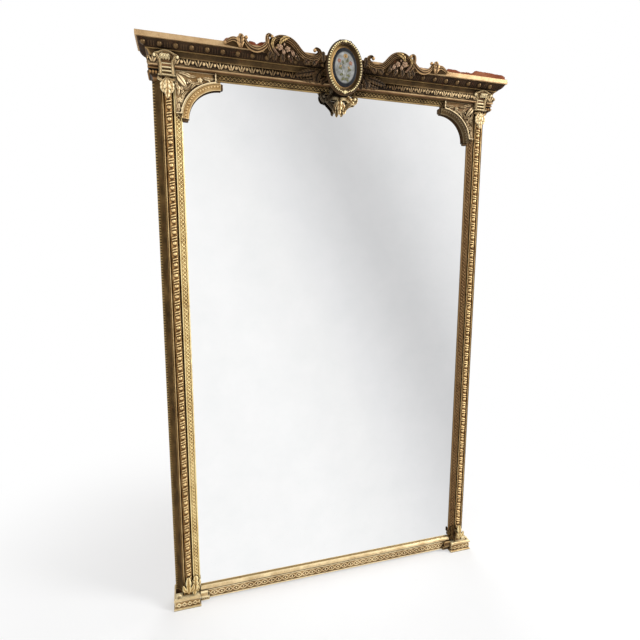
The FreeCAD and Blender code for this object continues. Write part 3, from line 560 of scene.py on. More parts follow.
def timber(name, dark, light, stretch, shift=0.0):
    """Bare old pine, with its grain drawn out along one direction."""
    material, tree, shader = tree_of(name)
    place = node(tree, "TexCoord").outputs["Object"]
    drawn = node(tree, "Mapping", Vector=place, Location=(shift, 0, shift), Scale=stretch).outputs["Vector"]
    grain = noise(tree, drawn, 130.0, 8.0, 0.7)
    stain = noise(tree, drawn, 7.0, 3.0)
    tone = maths(tree, "ADD", maths(tree, "MULTIPLY", grain, 0.7), maths(tree, "MULTIPLY", stain, 0.3))
    # Dirt and painted shade: the pine darkens in corners and in gaps between parts.
    colour = dirt_and_painted_shade(tree, ramp(tree, tone, ((0.34, dark), (0.62, light))), (48, 32, 20), 10 * MM, 0.6)
    wire(tree, shader, Base_Color=colour, Roughness=0.8, Normal=rough(tree, grain, 0.4, 0.6 * MM))
    return material


def steel(name):
    """Dull steel with spots of rust."""
    material, tree, shader = tree_of(name)
    rust = noise(tree, node(tree, "TexCoord").outputs["Object"], 190.0, 4.0, 0.7)
    colour = ramp(tree, rust, ((0.42, (150, 147, 141)), (0.6, (118, 108, 98)), (0.72, (104, 66, 42))))
    gloss = maths(tree, "MULTIPLY_ADD", rust, 0.4, 0.18)
    wire(tree, shader, Base_Color=colour, Metallic=0.85, Roughness=gloss)
    return material


def silvering(name):
    """Mirror glass with a faint old bloom, painted red-brown at the back."""
    material, tree, shader = tree_of(name)
    place = node(tree, "TexCoord")
    bloom = noise(tree, place.outputs["Object"], 9.0, 5.0, 0.6)
    bright = ramp(tree, bloom, ((0.3, (250, 250, 250)), (0.8, (244, 245, 245))))
    paint = ramp(tree, bloom, ((0.3, (70, 38, 30)), (0.8, (104, 62, 48))))
    facing = node(tree, "SeparateXYZ", Vector=place.outputs["Normal"]).outputs["Y"]
    rear = maths(tree, "GREATER_THAN", facing, 0.5)
    wire(
        tree, shader, Base_Color=blend(tree, rear, bright, paint),
        Metallic=maths(tree, "SUBTRACT", 1.0, rear), Roughness=maths(tree, "MULTIPLY_ADD", rear, 0.6, 0.02),
    )
    return material


def enamel(name, dark, light):
    """Thin painted colour."""
    material, tree, shader = tree_of(name)
    cloud = noise(tree, node(tree, "TexCoord").outputs["Object"], 240.0)
    wire(tree, shader, Base_Color=ramp(tree, cloud, ((0.35, dark), (0.65, light))), Roughness=0.3)
    return material


def glaze(name):
    """A glazed plaque: a pale field inside a navy rim."""
    material, tree, shader = tree_of(name)
    place = node(tree, "TexCoord").outputs["Object"]
    wide, tall = PLAQUE_HALF
    shift = node(
        tree, "Mapping", {"vector_type": "TEXTURE"}, Vector=place, Location=(0, 0, MEDALLION.z),
        Scale=(wide * MM, 1.0, tall * MM),
    ).outputs["Vector"]
    parts = node(tree, "SeparateXYZ", Vector=shift).outputs
    squares = [maths(tree, "POWER", maths(tree, "ABSOLUTE", parts[axis]), 2.0) for axis in "XZ"]
    away = maths(tree, "SQRT", maths(tree, "ADD", *squares))
    cloud = noise(tree, place, 60.0, 3.0)
    away = maths(tree, "ADD", away, maths(tree, "MULTIPLY", maths(tree, "SUBTRACT", cloud, 0.5), 0.08))
    field = ramp(tree, cloud, ((0.32, (112, 111, 104)), (0.5, (146, 146, 142)), (0.68, (172, 173, 172))))
    rim = ramp(tree, cloud, ((0.35, (20, 21, 24)), (0.7, (42, 44, 49))))
    share = ramp(tree, away, ((0.76, BLACK), (0.84, WHITE)))
    wire(tree, shader, Base_Color=blend(tree, share, field, rim), Roughness=0.4, Specular_IOR_Level=0.15)
    return material


BRIGHT = gilt("bright_gilt", (48, 30, 14), (182, 145, 93), (254, 234, 186))
# Painted shade: the spandrel field darkens slightly towards the right-hand side.
FIELD = gilt("field_gilt", (38, 24, 12), (156, 122, 78), (250, 226, 180), painted_shade_side=(0.1, 0.4, (200, 196, 192)))
PALE = gilt("pale_gilt", (74, 52, 28), (188, 152, 102), (252, 232, 186))
RIBS = gilt("rib_gilt", (56, 34, 14), (150, 111, 62), (236, 204, 146), metallic=0.5, dull=-0.06)
# Painted shade: the sight mouldings darken towards the right-hand side.
SIGHT = gilt("sight_gilt", (88, 60, 28), (230, 192, 122), (255, 238, 180), painted_shade_side=(0.1, 0.4, (140, 122, 112)))
# Painted shade: the arch bands turn darker and greyer towards the right-hand side.
ARCH = gilt("arch_gilt", (62, 42, 22), (174, 138, 86), (240, 212, 160), painted_shade_side=(0.1, 0.4, (118, 119, 122)))
# Painted shadow: the frieze darkens towards the middle, under the crest.
FRIEZE = gilt(
    "frieze_gilt", (15, 10, 5), (76, 58, 37), (220, 190, 142), painted_shade_side=(0.36, 0.18, (136, 124, 112)), fold=True,
)
BRONZE = gilt("bronze_gilt", (18, 12, 7), (68, 50, 31), (158, 122, 78), dull=0.08)
OVOLO = gilt("ovolo_gilt", (16, 11, 8), (52, 39, 29), (96, 75, 52), metallic=0.0, dull=0.2)
SCOTIA = gilt("scotia_gilt", (26, 18, 10), (102, 79, 48), (184, 150, 98), dull=0.1)
KNOBS = gilt("knob_gilt", (60, 46, 30), (106, 83, 54), (146, 118, 78), metallic=0.6, dull=-0.1, carved=False)
SHADE = gilt("shaded_gilt", (16, 10, 5), (44, 31, 18), (70, 52, 31), metallic=0.0, dull=0.3)
# Painted shade: dark brown for the shade in the groove beside each jamb's torus.
GROOVE = gilt("groove_gilt", (32, 20, 9), (84, 59, 32), (122, 91, 54), metallic=0.0, dull=0.3)
# Dark umber gilding; on the spandrel corbels and the crest's fronds and foliage it stands for painted shade.
UMBER = gilt("umber_gilt", (16, 11, 6), (46, 34, 21), (92, 70, 44), metallic=0.2, dull=0.1)
COVE = gilt("cove_gilt", (34, 24, 13), (116, 90, 54), (166, 132, 82), metallic=0.0, dull=0.3)
GOLD = gilt("plain_gilt", (118, 88, 56), (194, 160, 116), (238, 210, 164), carved=False)
GOLD_LEAF = gilt("leaf_gilt", (70, 46, 20), (194, 156, 94), (252, 232, 176))
# Painted shade: the right foot's inner leaves darken towards the middle of the mirror.
PAINTED_SHADE_LEAF = gilt(
    "painted_shade_leaf_gilt", (58, 37, 16), (186, 149, 90), (252, 230, 172), painted_shade_side=(0.49, 0.483, (92, 78, 58)),
)
# Painted shade: a darker copy of the gilding for the block of the right foot.
PAINTED_SHADE_BLOCK = gilt("lee_gilt", (22, 14, 7), (70, 51, 29), (156, 128, 86))
# Painted shade: the medallion's cove darkens towards its right-hand side.
RIM = gilt("rim_gilt", (50, 34, 15), (158, 124, 72), (226, 194, 132), painted_shade_side=(-0.03, 0.015, (112, 104, 90)))
# Painted shade: the pendant darkens towards its left-hand side.
DROP = gilt("drop_gilt", (36, 25, 13), (158, 122, 74), (244, 218, 166), painted_shade_side=(0.008, -0.024, (104, 104, 112)))
OLIVE = gilt("olive_gilt", (28, 20, 10), (98, 77, 48), (200, 168, 112), dull=0.05)
STEM = gilt("stem_gilt", (20, 13, 8), (88, 64, 40), (196, 158, 110))
ROSE = gilt("rose_gilt", (38, 24, 17), (108, 76, 58), (186, 152, 122), wear=(122, 116, 78), metallic=0.1)
BOLE = gilt("red_bole", (76, 37, 24), (136, 76, 52), (188, 131, 98), metallic=0.0, dull=0.3, carved=False)
PINE = timber("pine", (98, 66, 36), (158, 116, 70), (1.0, 1.0, 0.06))
CROSS_PINE = timber("cross_pine", (92, 62, 34), (150, 108, 64), (0.06, 1.0, 1.0))
PLANKS = [
    timber(
        f"plank_pine_{number}", (82 - fade, 55 - fade, 31 - fade), (140 - fade, 101 - fade, 61 - fade),
        (0.05, 1.0, 1.0), number,
    )
    for number, fade in ((1, 6), (2, -16), (3, 14), (4, -6))
]
STEEL = steel("dull_steel")
PLAQUE = glaze("painted_glaze")
LEAF_GREEN = enamel("green_enamel", (70, 70, 44), (112, 112, 72))
OCHRE = enamel("ochre_enamel", (146, 106, 54), (190, 152, 88))
PINK = enamel("pink_enamel", (126, 82, 68), (168, 118, 98))
MIRROR = silvering("silvered_glass")

for name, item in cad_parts.items():
    finish_and_painted_shade = BRIGHT
    if "plank_screws" in name or "hanger" in name:
        finish_and_painted_shade = STEEL
    elif "plank" in name:
        finish_and_painted_shade = PLANKS[int(name[-1]) - 1]
    elif "stile" in name or "block" in name or "peg" in name or "brace" in name:
        finish_and_painted_shade = PINE
    elif "rail" in name or "board" in name or name == "medallion_back":
        finish_and_painted_shade = CROSS_PINE
    elif "cornice" in name or "frieze" in name or "crest" in name or "impost" in name:
        finish_and_painted_shade = BRONZE
    elif name == "mirror_glass":
        finish_and_painted_shade = MIRROR
    item.data.materials.clear()
    item.data.materials.append(finish_and_painted_shade)
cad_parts["crest_backboard"].data.materials[0] = BOLE
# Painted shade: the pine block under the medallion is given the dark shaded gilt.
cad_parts["medallion_block"].data.materials[0] = SHADE


# Mouldings and carving

def upright(name, profile, across, side, span, finish_and_painted_shade, slot, *replaced, **shape):
    """A piece that is one upright moulding."""
    clay = Clay()
    bar(clay, profile, on_wall(across * side), UP, ACROSS * side, FRONT, span, **shape)
    clay.model(name, finish_and_painted_shade, slot, *replaced)


def make_jambs():
    """The ball-and-rib torus with a groove beside it, and the hollow outside them with its toothed edge."""
    low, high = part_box("right_jamb_torus")
    groove_width = 5.4 * MM
    centre = (low.x + high.x - groove_width) / 2
    torus = Profile((
        (-10.2, SEAT, 0, 2), (-10.2, 55, 0.26, 36), (9.8, 56.4, 0, 1), (10.2, 56.2, 0, 2), (11.6, 58.6, 0, 2),
        (12.4, 60, 0, 3), (14.4, 60, 0, 2), (15.2, 58.6, 0, 3), (16.6, 57, 0, 3), (16.6, SEAT, 0, 4),
    ))
    groove = Profile(((-15.2, SEAT, 0, 2), (-15.2, 50, 0, 2), (-10, 50, 0, 2), (-10, SEAT, 0, 2)))
    carving = {1: ball_and_ribs(pitch=30.9 * MM, height=5.4 * MM, start=80 * MM, ball=5.7 * MM)}
    for side, hand in SIDES:
        place = (centre, side, (low.z, high.z))
        upright(
            f"{hand}_jamb_leaves", torus, *place, RIBS, "bright_gilt", f"{hand}_jamb_torus",
            relief=carving, step=MM,
        )
        # The groove strip is dark with painted shade.
        upright(f"{hand}_jamb_groove", groove, *place, GROOVE, "dark_gilt", step=40 * MM)

    low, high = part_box("right_jamb_cove")
    cove = Profile((
        (0, 18, 0, 3), (0, 59.2, 0, 2), (0.9, 60, -0.11, 14), (19.0, 22.6, 0, 2),
        (19.6, 21, 0, 3), (24.4, 21, 0, 2), (24.4, 18, 0, 4),
    ))
    edge = Profile(((19.8, 18, 0, 2), (19.8, 21.4, 0, 6), (24.6, 21.4, 0, 2), (24.6, 18, 0, 3)))
    teeth = {1: dentils(pitch=8 * MM, height=3.2 * MM)}
    for side, hand in SIDES:
        place = (low.x, side, (low.z, high.z))
        upright(f"{hand}_jamb_hollow", cove, *place, COVE, "dark_gilt", f"{hand}_jamb_cove", step=4 * MM)
        upright(f"{hand}_jamb_teeth", edge, *place, OLIVE, "dark_gilt", relief=teeth, step=0.8 * MM)


def make_sight():
    """The mouldings next to the glass, which slope in towards it."""
    low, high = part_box("right_sight_moulding")
    top_low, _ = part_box("top_sight_moulding")
    sight = low.x
    top_share = (high.z - top_low.z) / (high.x - low.x)
    section = Profile((
        (0, SEAT, 0, 2), (0, 50.4, 0.34, 7), (4.4, 52, 0, 1), (5, 51, 0, 17), (17.8, 53.8, 0, 1),
        (18.2, 55, 0, 3), (21.6, 55, 0, 2), (22, 54.4, 0, 2), (22, SEAT, 0, 4),
    ))
    carving = {"relief": {3: lattice(pitch=11.7 * MM, height=2.3 * MM)}, "step": 1.3 * MM}
    for side, hand in SIDES:
        upright(
            f"{hand}_sight_lattice", section, sight, side, (low.z, top_low.z), SIGHT, "bright_gilt",
            f"{hand}_sight_moulding", leans=(0, top_share), **carving,
        )
    # The top moulding takes the darker olive gilding, not the sides' one: painted shade on its downward face.
    clay = Clay()
    corner = np.array((0, WALL, top_low.z))
    bar(clay, section, corner, ACROSS, UP * top_share, FRONT, (-sight, sight), leans=(-1, 1), **carving)
    clay.model("top_sight_lattice", OLIVE, "bright_gilt", "top_sight_moulding")


def make_entablature():
    """The frieze and the cornice, each run across the front and back along both sides."""
    low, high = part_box("frieze_board")
    reach = high.x
    depth = WALL - low.y
    returns = [(on_wall(reach * side), FRONT, ACROSS * side, (0, depth), (0, 1), True) for side, _ in SIDES]
    face = (np.array((0, WALL - depth, 0)), ACROSS, FRONT)
    make_frieze(face, returns, reach)
    make_cornice([*returns, (*face, (-reach, reach), (-1, 1), False)], depth)


def make_frieze(face, returns, reach):
    """A row of tulips over a plain fillet, which makes room for the consoles."""
    start = (0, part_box("frieze_moulding")[0].z / MM)
    fillet = Profile((
        (0, 0, 0, 3), (3.8, 0, 0, 1), (4.4, 0.6, 0.2, 4), (4.4, 2.6, 0, 1), (3.6, 3, 0, 3), (0, 3, 0, 2),
    ), start)
    frieze = Profile(((0, 3, 0, 3), (2.6, 3, 0.16, 26), (2.6, 25, 0, 3), (0, 25, 0, 4)), start)
    inner, outer = 478 * MM, 522 * MM
    between = [(*face, span, leans, False) for span, leans in (
        ((-reach, -outer), (-1, 0)), ((-inner, inner), (0, 0)), ((outer, reach), (0, 1)),
    )]
    fillet_clay, frieze_clay = Clay(), Clay()
    for origin, along, out, span, leans, aside in returns + between:
        first = 15 * MM if aside else -16 * MM
        carving = {1: tulips(pitch=29.6 * MM, height=4.4 * MM, start=first, ball=4.8 * MM)}
        bar(frieze_clay, frieze, origin, along, out, UP, span, leans=leans, relief=carving, step=1.1 * MM)
        bar(fillet_clay, fillet, origin, along, out, UP, span, leans=leans, step=6 * MM)
    frieze_clay.model(
        "frieze_leaves", FRIEZE, "dark_gilt", "frieze_moulding", "left_frieze_return", "right_frieze_return",
    )
    fillet_clay.model("frieze_fillet", GOLD, "bright_gilt")


def make_cornice(runs, depth):
    """A scotia, a fluted ovolo with a row of balls, and a plain band on top."""
    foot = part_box("cornice_front")[0].z / MM
    start = (0, foot)
    scotia = Profile((
        (0, 0, 0, 3), (2, 0, -0.12, 10), (9, 12, 0, 2), (10.4, 12, 0, 1), (11, 12.5, 0, 3), (11, 14.6, 0, 1),
        (10.6, 15, 0, 3), (0, 15, 0, 4),
    ), start)
    ovolo = Profile((
        (0, 15, 0, 3), (10.2, 15, 0.14, 26), (29.5, 31, 0, 2), (29.5, 33, 0, 6), (0, 33, 0, 6),
    ), start)
    band = Profile((
        (0, 33, 0, 6), (29, 31, 0, 2), (33.2, 31, 0, 1), (34, 31.8, 0, 8), (34, 44, 0, 1), (33, 45, 0, 6),
        (0, 45, 0, 4),
    ), start)
    scotia_clay, ovolo_clay, band_clay, ball_clay = Clay(), Clay(), Clay(), Clay()
    pitch = 41.19 * MM
    balls = 27
    ball_radii = (7.2, 7.2, 6.6)
    ball_out, ball_up = 22.4, 21.4
    for origin, along, out, span, leans, aside in runs:
        first = depth + 15 * MM if aside else pitch / 2
        carving = {1: flutes(pitch, height=0.8 * MM, gap=11 * MM, start=first)}
        bar(scotia_clay, scotia, origin, along, out, UP, span, leans=leans, step=6 * MM)
        bar(ovolo_clay, ovolo, origin, along, out, UP, span, leans=leans, relief=carving, step=1.4 * MM)
        bar(band_clay, band, origin, along, out, UP, span, leans=leans, step=8 * MM)
        for place in () if aside else pitch * (np.arange(balls) - balls / 2):
            centre = origin + along * place + out * ball_out * MM + UP * (foot + ball_up) * MM
            knob(ball_clay, centre, ball_radii, out=unit(out - 0.8 * UP))
    ovolo_clay.model(
        "cornice_ovolo", OVOLO, "dark_gilt", "cornice_front", "left_cornice_return", "right_cornice_return",
    )
    scotia_clay.model("cornice_scotia", SCOTIA, "dark_gilt")
    band_clay.model("cornice_band", GOLD, "bright_gilt")
    ball_clay.model("cornice_balls", KNOBS, "dark_gilt")


def make_sill():
    """The moulding under the glass, with a winding band, and a rebate above it in darker gilding as painted
    shade.
    """
    low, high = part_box("sill_moulding")
    start = (low.z / MM, 0)
    overlap = 27 * MM
    run = (on_wall(), ACROSS, UP, FRONT, (low.x - overlap, high.x + overlap))
    section = Profile((
        (0, SEAT, 0, 2), (0, 56.4, 0, 1), (0.9, 57.4, 0, 3), (4.2, 57.4, 0, 1), (5, 55.2, 0, 26),
        (27.4, 55.2, 0, 1), (28.2, 57.4, 0, 2), (30.6, 57.4, 0, 1), (31.2, 54.6, 0, 1), (32.4, 56, 0.42, 16),
        (46, 54, 0, 2), (46, SEAT, 0, 4),
    ), start)
    clay = Clay()
    carving = {4: guilloche(pitch=24 * MM, height=2.0 * MM, stud=3.2 * MM)}
    bar(clay, section, *run, relief=carving, step=1.3 * MM)
    clay.model("sill_run", PALE, "bright_gilt", "sill_moulding")
    # The rebate takes darker olive gilding as painted shade.
    rebate = Profile(((44, SEAT, 0, 2), (44, 54, 0, 2), (46.8, 53.4, 0, 2), (46.8, SEAT, 0, 2)), start)
    clay = Clay()
    bar(clay, rebate, *run, step=40 * MM)
    clay.model("sill_rebate", OLIVE, "dark_gilt")


def make_plinths():
    """The two feet, each with a carved die round three sides and a small stepped block beside it."""
    inset = 6.0
    low, high = (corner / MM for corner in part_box("right_plinth"))
    front = WALL / MM - low.y
    top = high.z
    section = Profile((
        (0, 0, 0, 3), (5.4, 0, 0, 1), (6, 0.8, 0, 3), (6, 4.6, -0.12, 4), (3.4, 7.4, 0, 1), (1.8, 7.6, 0, 20),
        (1.8, 26, 0, 1), (0.6, 26.4, 0, 1), (0.6, 27.6, 0, 1), (3, 28, 0.22, 10), (3, top - 0.8, 0, 1),
        (2.2, top, 0, 4), (0, top, 0, 6),
    ))
    carving = {5: eyes(pitch=16.6 * MM, height=1.9 * MM, hole=2.8 * MM)}
    block = Profile((
        (22, SEAT, 0, 3), (22, 65, 0, 1), (23, 66.4, 0.04, 12), (40.6, 66.4, 0, 1), (42, 64.8, 0, 5),
        (42, SEAT, 0, 8),
    ))
    shelf = Profile((
        (8, SEAT, 0, 4), (8, 62, 0, 1), (9, 63.4, 0, 3), (11, 63.4, 0, 1), (11.6, 61.8, 0, 8),
        (18.4, 61.8, 0, 1), (19, 65, 0.2, 4), (22.4, 65, 0, 1), (23, 64, 0, 3), (23, SEAT, 0, 6),
    ))
    shelf_carving = {4: eyes(pitch=13 * MM, height=1.4 * MM, hole=2 * MM)}
    curl = [(531, 68, 0), (534, 68, 7), (529, 69, 12), (523, 69, 8), (527, 69, 4)]
    depth = (front - inset) * MM
    for side, hand in SIDES:
        clay = Clay()
        outside, inside = (side * across * MM for across in (high.x - inset, low.x + inset))
        near, far = sorted((inside, outside))
        for origin, along, out, span, lean in (
            (on_wall(outside), FRONT, ACROSS * side, (0, depth), 0),
            (on_wall(inside), FRONT, -ACROSS * side, (SEAT * MM, depth), 0),
            (np.array((0, WALL - depth, 0)), ACROSS, FRONT, (near, far), -1),
        ):
            bar(clay, section, origin, along, out, UP, span, leans=(lean, 1), relief=carving)
        box(clay, (near / MM - 1, 45, 0.2), (far / MM + 1, front - inset + 1, top - 0.2), soft=0.1)
        scroll(
            clay, spots(side, curl, base=top), (4, 6, 6, 5, 4), (3, 4, 5, 4, 3), flutes=1, rows=24, columns=9,
        )
        clay.model(f"{hand}_plinth_die", BRIGHT, "bright_gilt", f"{hand}_plinth")

        clay = Clay()
        for profile, inner, relief in ((block, 441, None), (shelf, 435.4, shelf_carving)):
            span = sorted((side * inner * MM, side * 463 * MM))
            bar(clay, profile, on_wall(), ACROSS, UP, FRONT, span, relief=relief)
        # Painted shade: the right block takes the darker copy of the gilding.
        finish_and_painted_shade = PAINTED_SHADE_BLOCK if side > 0 else BRIGHT
        clay.model(f"{hand}_plinth_block", finish_and_painted_shade, "bright_gilt", f"{hand}_plinth_step")


def make_foot_leaves():
    """A tulip-shaped leaf at the foot of each jamb and a ruffled one beside it."""
    low, high = (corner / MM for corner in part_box("right_foot_leaf"))
    middle = (low.x + high.x) / 2
    inner = middle - 24
    # The right foot's leaves take the material with painted shade on their inner side.
    for (side, hand), finish_and_painted_shade in zip(SIDES, (GOLD_LEAF, PAINTED_SHADE_LEAF)):
        clay = Clay()
        for bend in (-1, 1):
            lobe = [(2 * bend, 68, 57), (8 * bend, 71, 62), (13 * bend, 72, 69), (16 * bend, 72, 80)]
            leaf(clay, spots(side, lobe, middle), 13, 5, lobes=1, rows=26, crease=0)
            spray = [(4 * bend, 55, 62), (8 * bend, 57, 68), (11 * bend, 60, 76), (11 * bend, 61, 86)]
            leaf(clay, spots(side, spray, inner), 10, 5, lobes=3, rows=36, crease=0.2)
            frill = [
                (3 * bend + 3, 58, 70), (8 * bend + 4, 61, 62),
                (10 * bend + 5, 63, 54), (9 * bend + 6, 65, 47),
            ]
            leaf(clay, spots(side, frill, inner), 9, 5, lobes=3, rows=36, crease=0.2)
        tulip = [(0, 64, 102), (0, 68, 86), (0, 70, 70), (-1, 73, 51)]
        leaf(clay, spots(side, tulip, middle), 18, 7, lobes=2, base=0.7, crease=0.03)
        slim = [(1, 54, 97), (2, 58, 80), (4, 62, 60), (8, 68, 40)]
        leaf(clay, spots(side, slim, inner), 20, 6, lobes=4, base=0.7, rows=54, crease=0.08)
        clay.model(f"{hand}_foot_acanthus", finish_and_painted_shade, "bright_gilt", f"{hand}_foot_leaf")


def make_consoles():
    """The brackets under the cornice, each with its leaf and the impost band beside it."""
    low, high = (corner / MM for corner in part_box("right_console"))
    centre = (low.x + high.x) / 2
    for side, hand in SIDES:
        make_console_block(side, hand, centre)
        make_console_leaf(side, hand, centre)
        make_impost(side, hand)


def make_console_block(side, hand, centre):
    """A slotted face between flared rails, below an arched lip."""
    middle = centre * side
    clay = Clay()
    tower(clay, [(height, middle - half, middle + half, SEAT, depth) for height, half, depth in (
        (1612.4, 17, 62), (1651, 17, 62), (1653, 20, 70), (1658, 25, 76), (1663, 27, 78), (1667, 18, 79),
        (1670.5, 8, 79),
    )])
    flare = (
        (15.8, 62.5, 1612.8), (15.8, 63.5, 1630), (16.2, 66, 1641), (18, 71, 1650), (22, 75, 1656),
        (28, 77, 1660.5),
    )
    for edge in (-1, 1):
        tower(clay, [
            (height, middle + away * edge - 3.4, middle + away * edge + 3.4, SEAT, depth + 0.6)
            for away, depth, height in flare
        ])
    clay.model(f"{hand}_console_core", BRONZE, "dark_gilt", f"{hand}_console")

    clay = Clay()
    for edge in (-1, 1):
        rail = spots(side, [(away * edge, depth, height) for away, depth, height in flare], centre)
        scroll(clay, rail, (8, 7.8, 7.6, 7.4, 7, 6), (5.5,), flutes=1, rows=50, columns=13)
        knob(clay, at(side, centre + 29.6 * edge, 78, 1657.5), (3.6, 4.6, 5))
    for height in (1615.2, 1624.8, 1634.4, 1644):
        slat = [(-13, 62.3, height), (0, 62.6, height), (13, 62.3, height)]
        scroll(clay, spots(side, slat, centre), (5.4,), (5,), flutes=0, rows=8, columns=9)
    for shift in (-13, -6.5, 0, 6.5, 13):
        spray = [(shift * 0.7, 79, 1664), (shift, 77, 1658), (shift * 1.1, 71, 1651)]
        leaf(clay, spots(side, spray, centre), 7.6, 3.4, lobes=2, rows=20, columns=9)
    flange = [(-22.5, 61, 1614.4), (-16, 62, 1613.2), (16, 62, 1613.2), (22.5, 61, 1614.4)]
    scroll(clay, spots(side, flange, centre), (3,), (8,), flutes=0, rows=16, columns=11)
    slope = [(31, 76, 1655), (28.5, 77, 1661.5), (20, 78, 1664), (10, 79, 1668.4)]
    lip = [(-away, depth, height) for away, depth, height in slope] + [(0, 79, 1670)] + slope[::-1]
    scroll(
        clay, spots(side, lip, centre), (4, 5, 4.6, 5, 4), (5, 5.5, 5.5, 5.5, 5),
        flutes=1, rows=60, columns=13,
    )
    clay.model(f"{hand}_console_face", BRIGHT, "bright_gilt")


def make_console_leaf(side, hand, centre):
    """The acanthus that hangs below the console, under a collar of two loops."""
    clay = Clay()
    for loop in (
        [(23, 61, 1610), (21, 64, 1604), (14, 66, 1599.5), (6, 66, 1598)],
        [(-1, 62, 1610), (-4, 65, 1604.5), (-11, 66, 1602), (-20, 64, 1604)],
    ):
        scroll(clay, spots(side, loop, centre), (5, 6.5, 6.5, 5), (4, 5.5, 5.5, 4), flutes=1, rows=40)
    for bend in (-1, 1):
        spray = [(4 * bend, 64, 1604), (11 * bend, 66, 1592), (13 * bend, 67, 1580), (10 * bend, 70, 1568)]
        leaf(clay, spots(side, spray, centre), 13, 5, lobes=4, rows=40, crease=0.12)
    drop = [(0, 64, 1604), (0, 67, 1588), (0, 67, 1570), (0, 71, 1553)]
    leaf(clay, spots(side, drop, centre), 19, 7, lobes=4, rows=54, crease=0.12)
    clay.model(f"{hand}_console_acanthus", BRIGHT, "bright_gilt", f"{hand}_console_leaf")


def make_impost(side, hand):
    """The beaded band that carries the console's line round the side."""
    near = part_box("right_impost")[0].x
    turn = 28 * MM
    section = Profile((
        (-6, 1606, 0, 3), (20, 1606, -0.1, 6), (25, 1615, 0, 1), (26, 1616, 0.24, 14), (28.4, 1628, 0, 1),
        (28.8, 1629.4, 0, 1), (31.4, 1630, 0.2, 4), (31.4, 1635.4, 0, 1), (30.6, 1636, 0, 3),
        (-6, 1636, 0, 3),
    ))
    rope = {"leans": (0, 1), "relief": {3: beads(pitch=8.4 * MM, radius=4.2 * MM, start=2 * MM)}}
    clay = Clay()
    bar(clay, section, on_wall(near * side), FRONT, ACROSS * side, UP, (MM, turn), step=1.0 * MM, **rope)
    corner = np.array((near * side, WALL - turn, 0))
    bar(clay, section, corner, ACROSS * side, FRONT, UP, (-2 * MM, 0), step=0.8 * MM, **rope)
    clay.model(f"{hand}_impost_band", BRONZE, "dark_gilt", f"{hand}_impost")


def make_spandrels():
    """The pierced corners of the opening: a dotted arch band, a bright fillet and a leafy field."""
    low, high = (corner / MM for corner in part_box("right_spandrel"))
    wide, tall, mean = 89.5, 84.0, 86.7
    back, ground = 49.3, 57.2
    share = np.linspace(0, 1, 141)
    turn = share * math.pi / 2
    arch = np.stack([low.x + wide * np.sin(turn), low.z + tall * np.cos(turn)], axis=1)
    outwards = unit(arch - (low.x, low.z))
    bend = (0, 0.5, 1)
    far = np.stack([
        np.interp(share, bend, (low.x, high.x, high.x)), np.interp(share, bend, (high.z, high.z, low.z)),
    ], axis=1)
    place = arch[:, None] + (far - arch)[:, None] * np.linspace(0, 1, 76)[None, :, None]
    across, height = place[..., 0], place[..., 1]
    away = (np.hypot((across - low.x) / wide, (height - low.z) / tall) - 1) * mean
    end = np.minimum(across - low.x, height - low.z)
    fillet = rise(away, 17, 18.4) * (1 - rise(np.minimum(away - 21.5, end - 15), 0, 1))
    depth = np.where((away < 17) | (end < 11.5), 50, ground + 6.6 * fillet)
    reach = np.linspace(0, 17.4, 40)
    stud_arc, stud_pitch, stud_row = 92, 8.0, 9.0
    studs = np.hypot(repeat((turn * stud_arc)[:, None], stud_pitch, 0), reach - stud_row)
    groove = np.exp(-((reach - 15.2) / 1.2) ** 2)
    face = ground + 5 * rise(reach, -6, 17) + 1.2 * (1 - rise(studs, 1.4, 2.8)) - 1.6 * groove
    band = arch[:, None] + outwards[:, None] * reach[:, None]
    soffit = arch - 0.6 * outwards
    for side, hand in SIDES:
        clay = Clay()
        front = at(side, across, depth, height)
        inside = at(side, across[:, :1], back, height[:, :1])
        outside = at(side, across[:, -1:], 54.6, height[:, -1:])
        clay.add(*loft(np.concatenate([inside, front, outside], axis=1)))
        carve_spandrel(clay, side)
        clay.model(f"{hand}_spandrel_field", FIELD, "bright_gilt", f"{hand}_spandrel")

        clay = Clay()
        front = at(side, band[..., 0], face, band[..., 1])
        rear = at(side, band[:, ::39, 0], back, band[:, ::39, 1])
        clay.add(*loft(np.concatenate([rear[:, :1], front, rear[:, 1:]], axis=1)))
        clay.model(f"{hand}_spandrel_arch", ARCH, "bright_gilt")

        # Small blocks at the ends of the arch band, dark with painted shade.
        clay = Clay()
        for (left, foot), (right, top) in (((447, 1500), (463, 1508)), ((349, 1593), (357, 1609))):
            ends = sorted((left * side, right * side))
            box(clay, (ends[0], back, foot), (ends[1], 57, top), soft=1.8)
        clay.model(f"{hand}_spandrel_corbels", UMBER, "dark_gilt")

        # A thin strip under the arch, dark with painted shade.
        clay = Clay()
        strip(clay, side, [(line[:, 0], level, line[:, 1]) for line, level in (
            (arch, back), (arch, 56.8), (soffit, 56.8), (soffit, back),
        )])
        clay.model(f"{hand}_spandrel_soffit", SHADE, "dark_gilt")


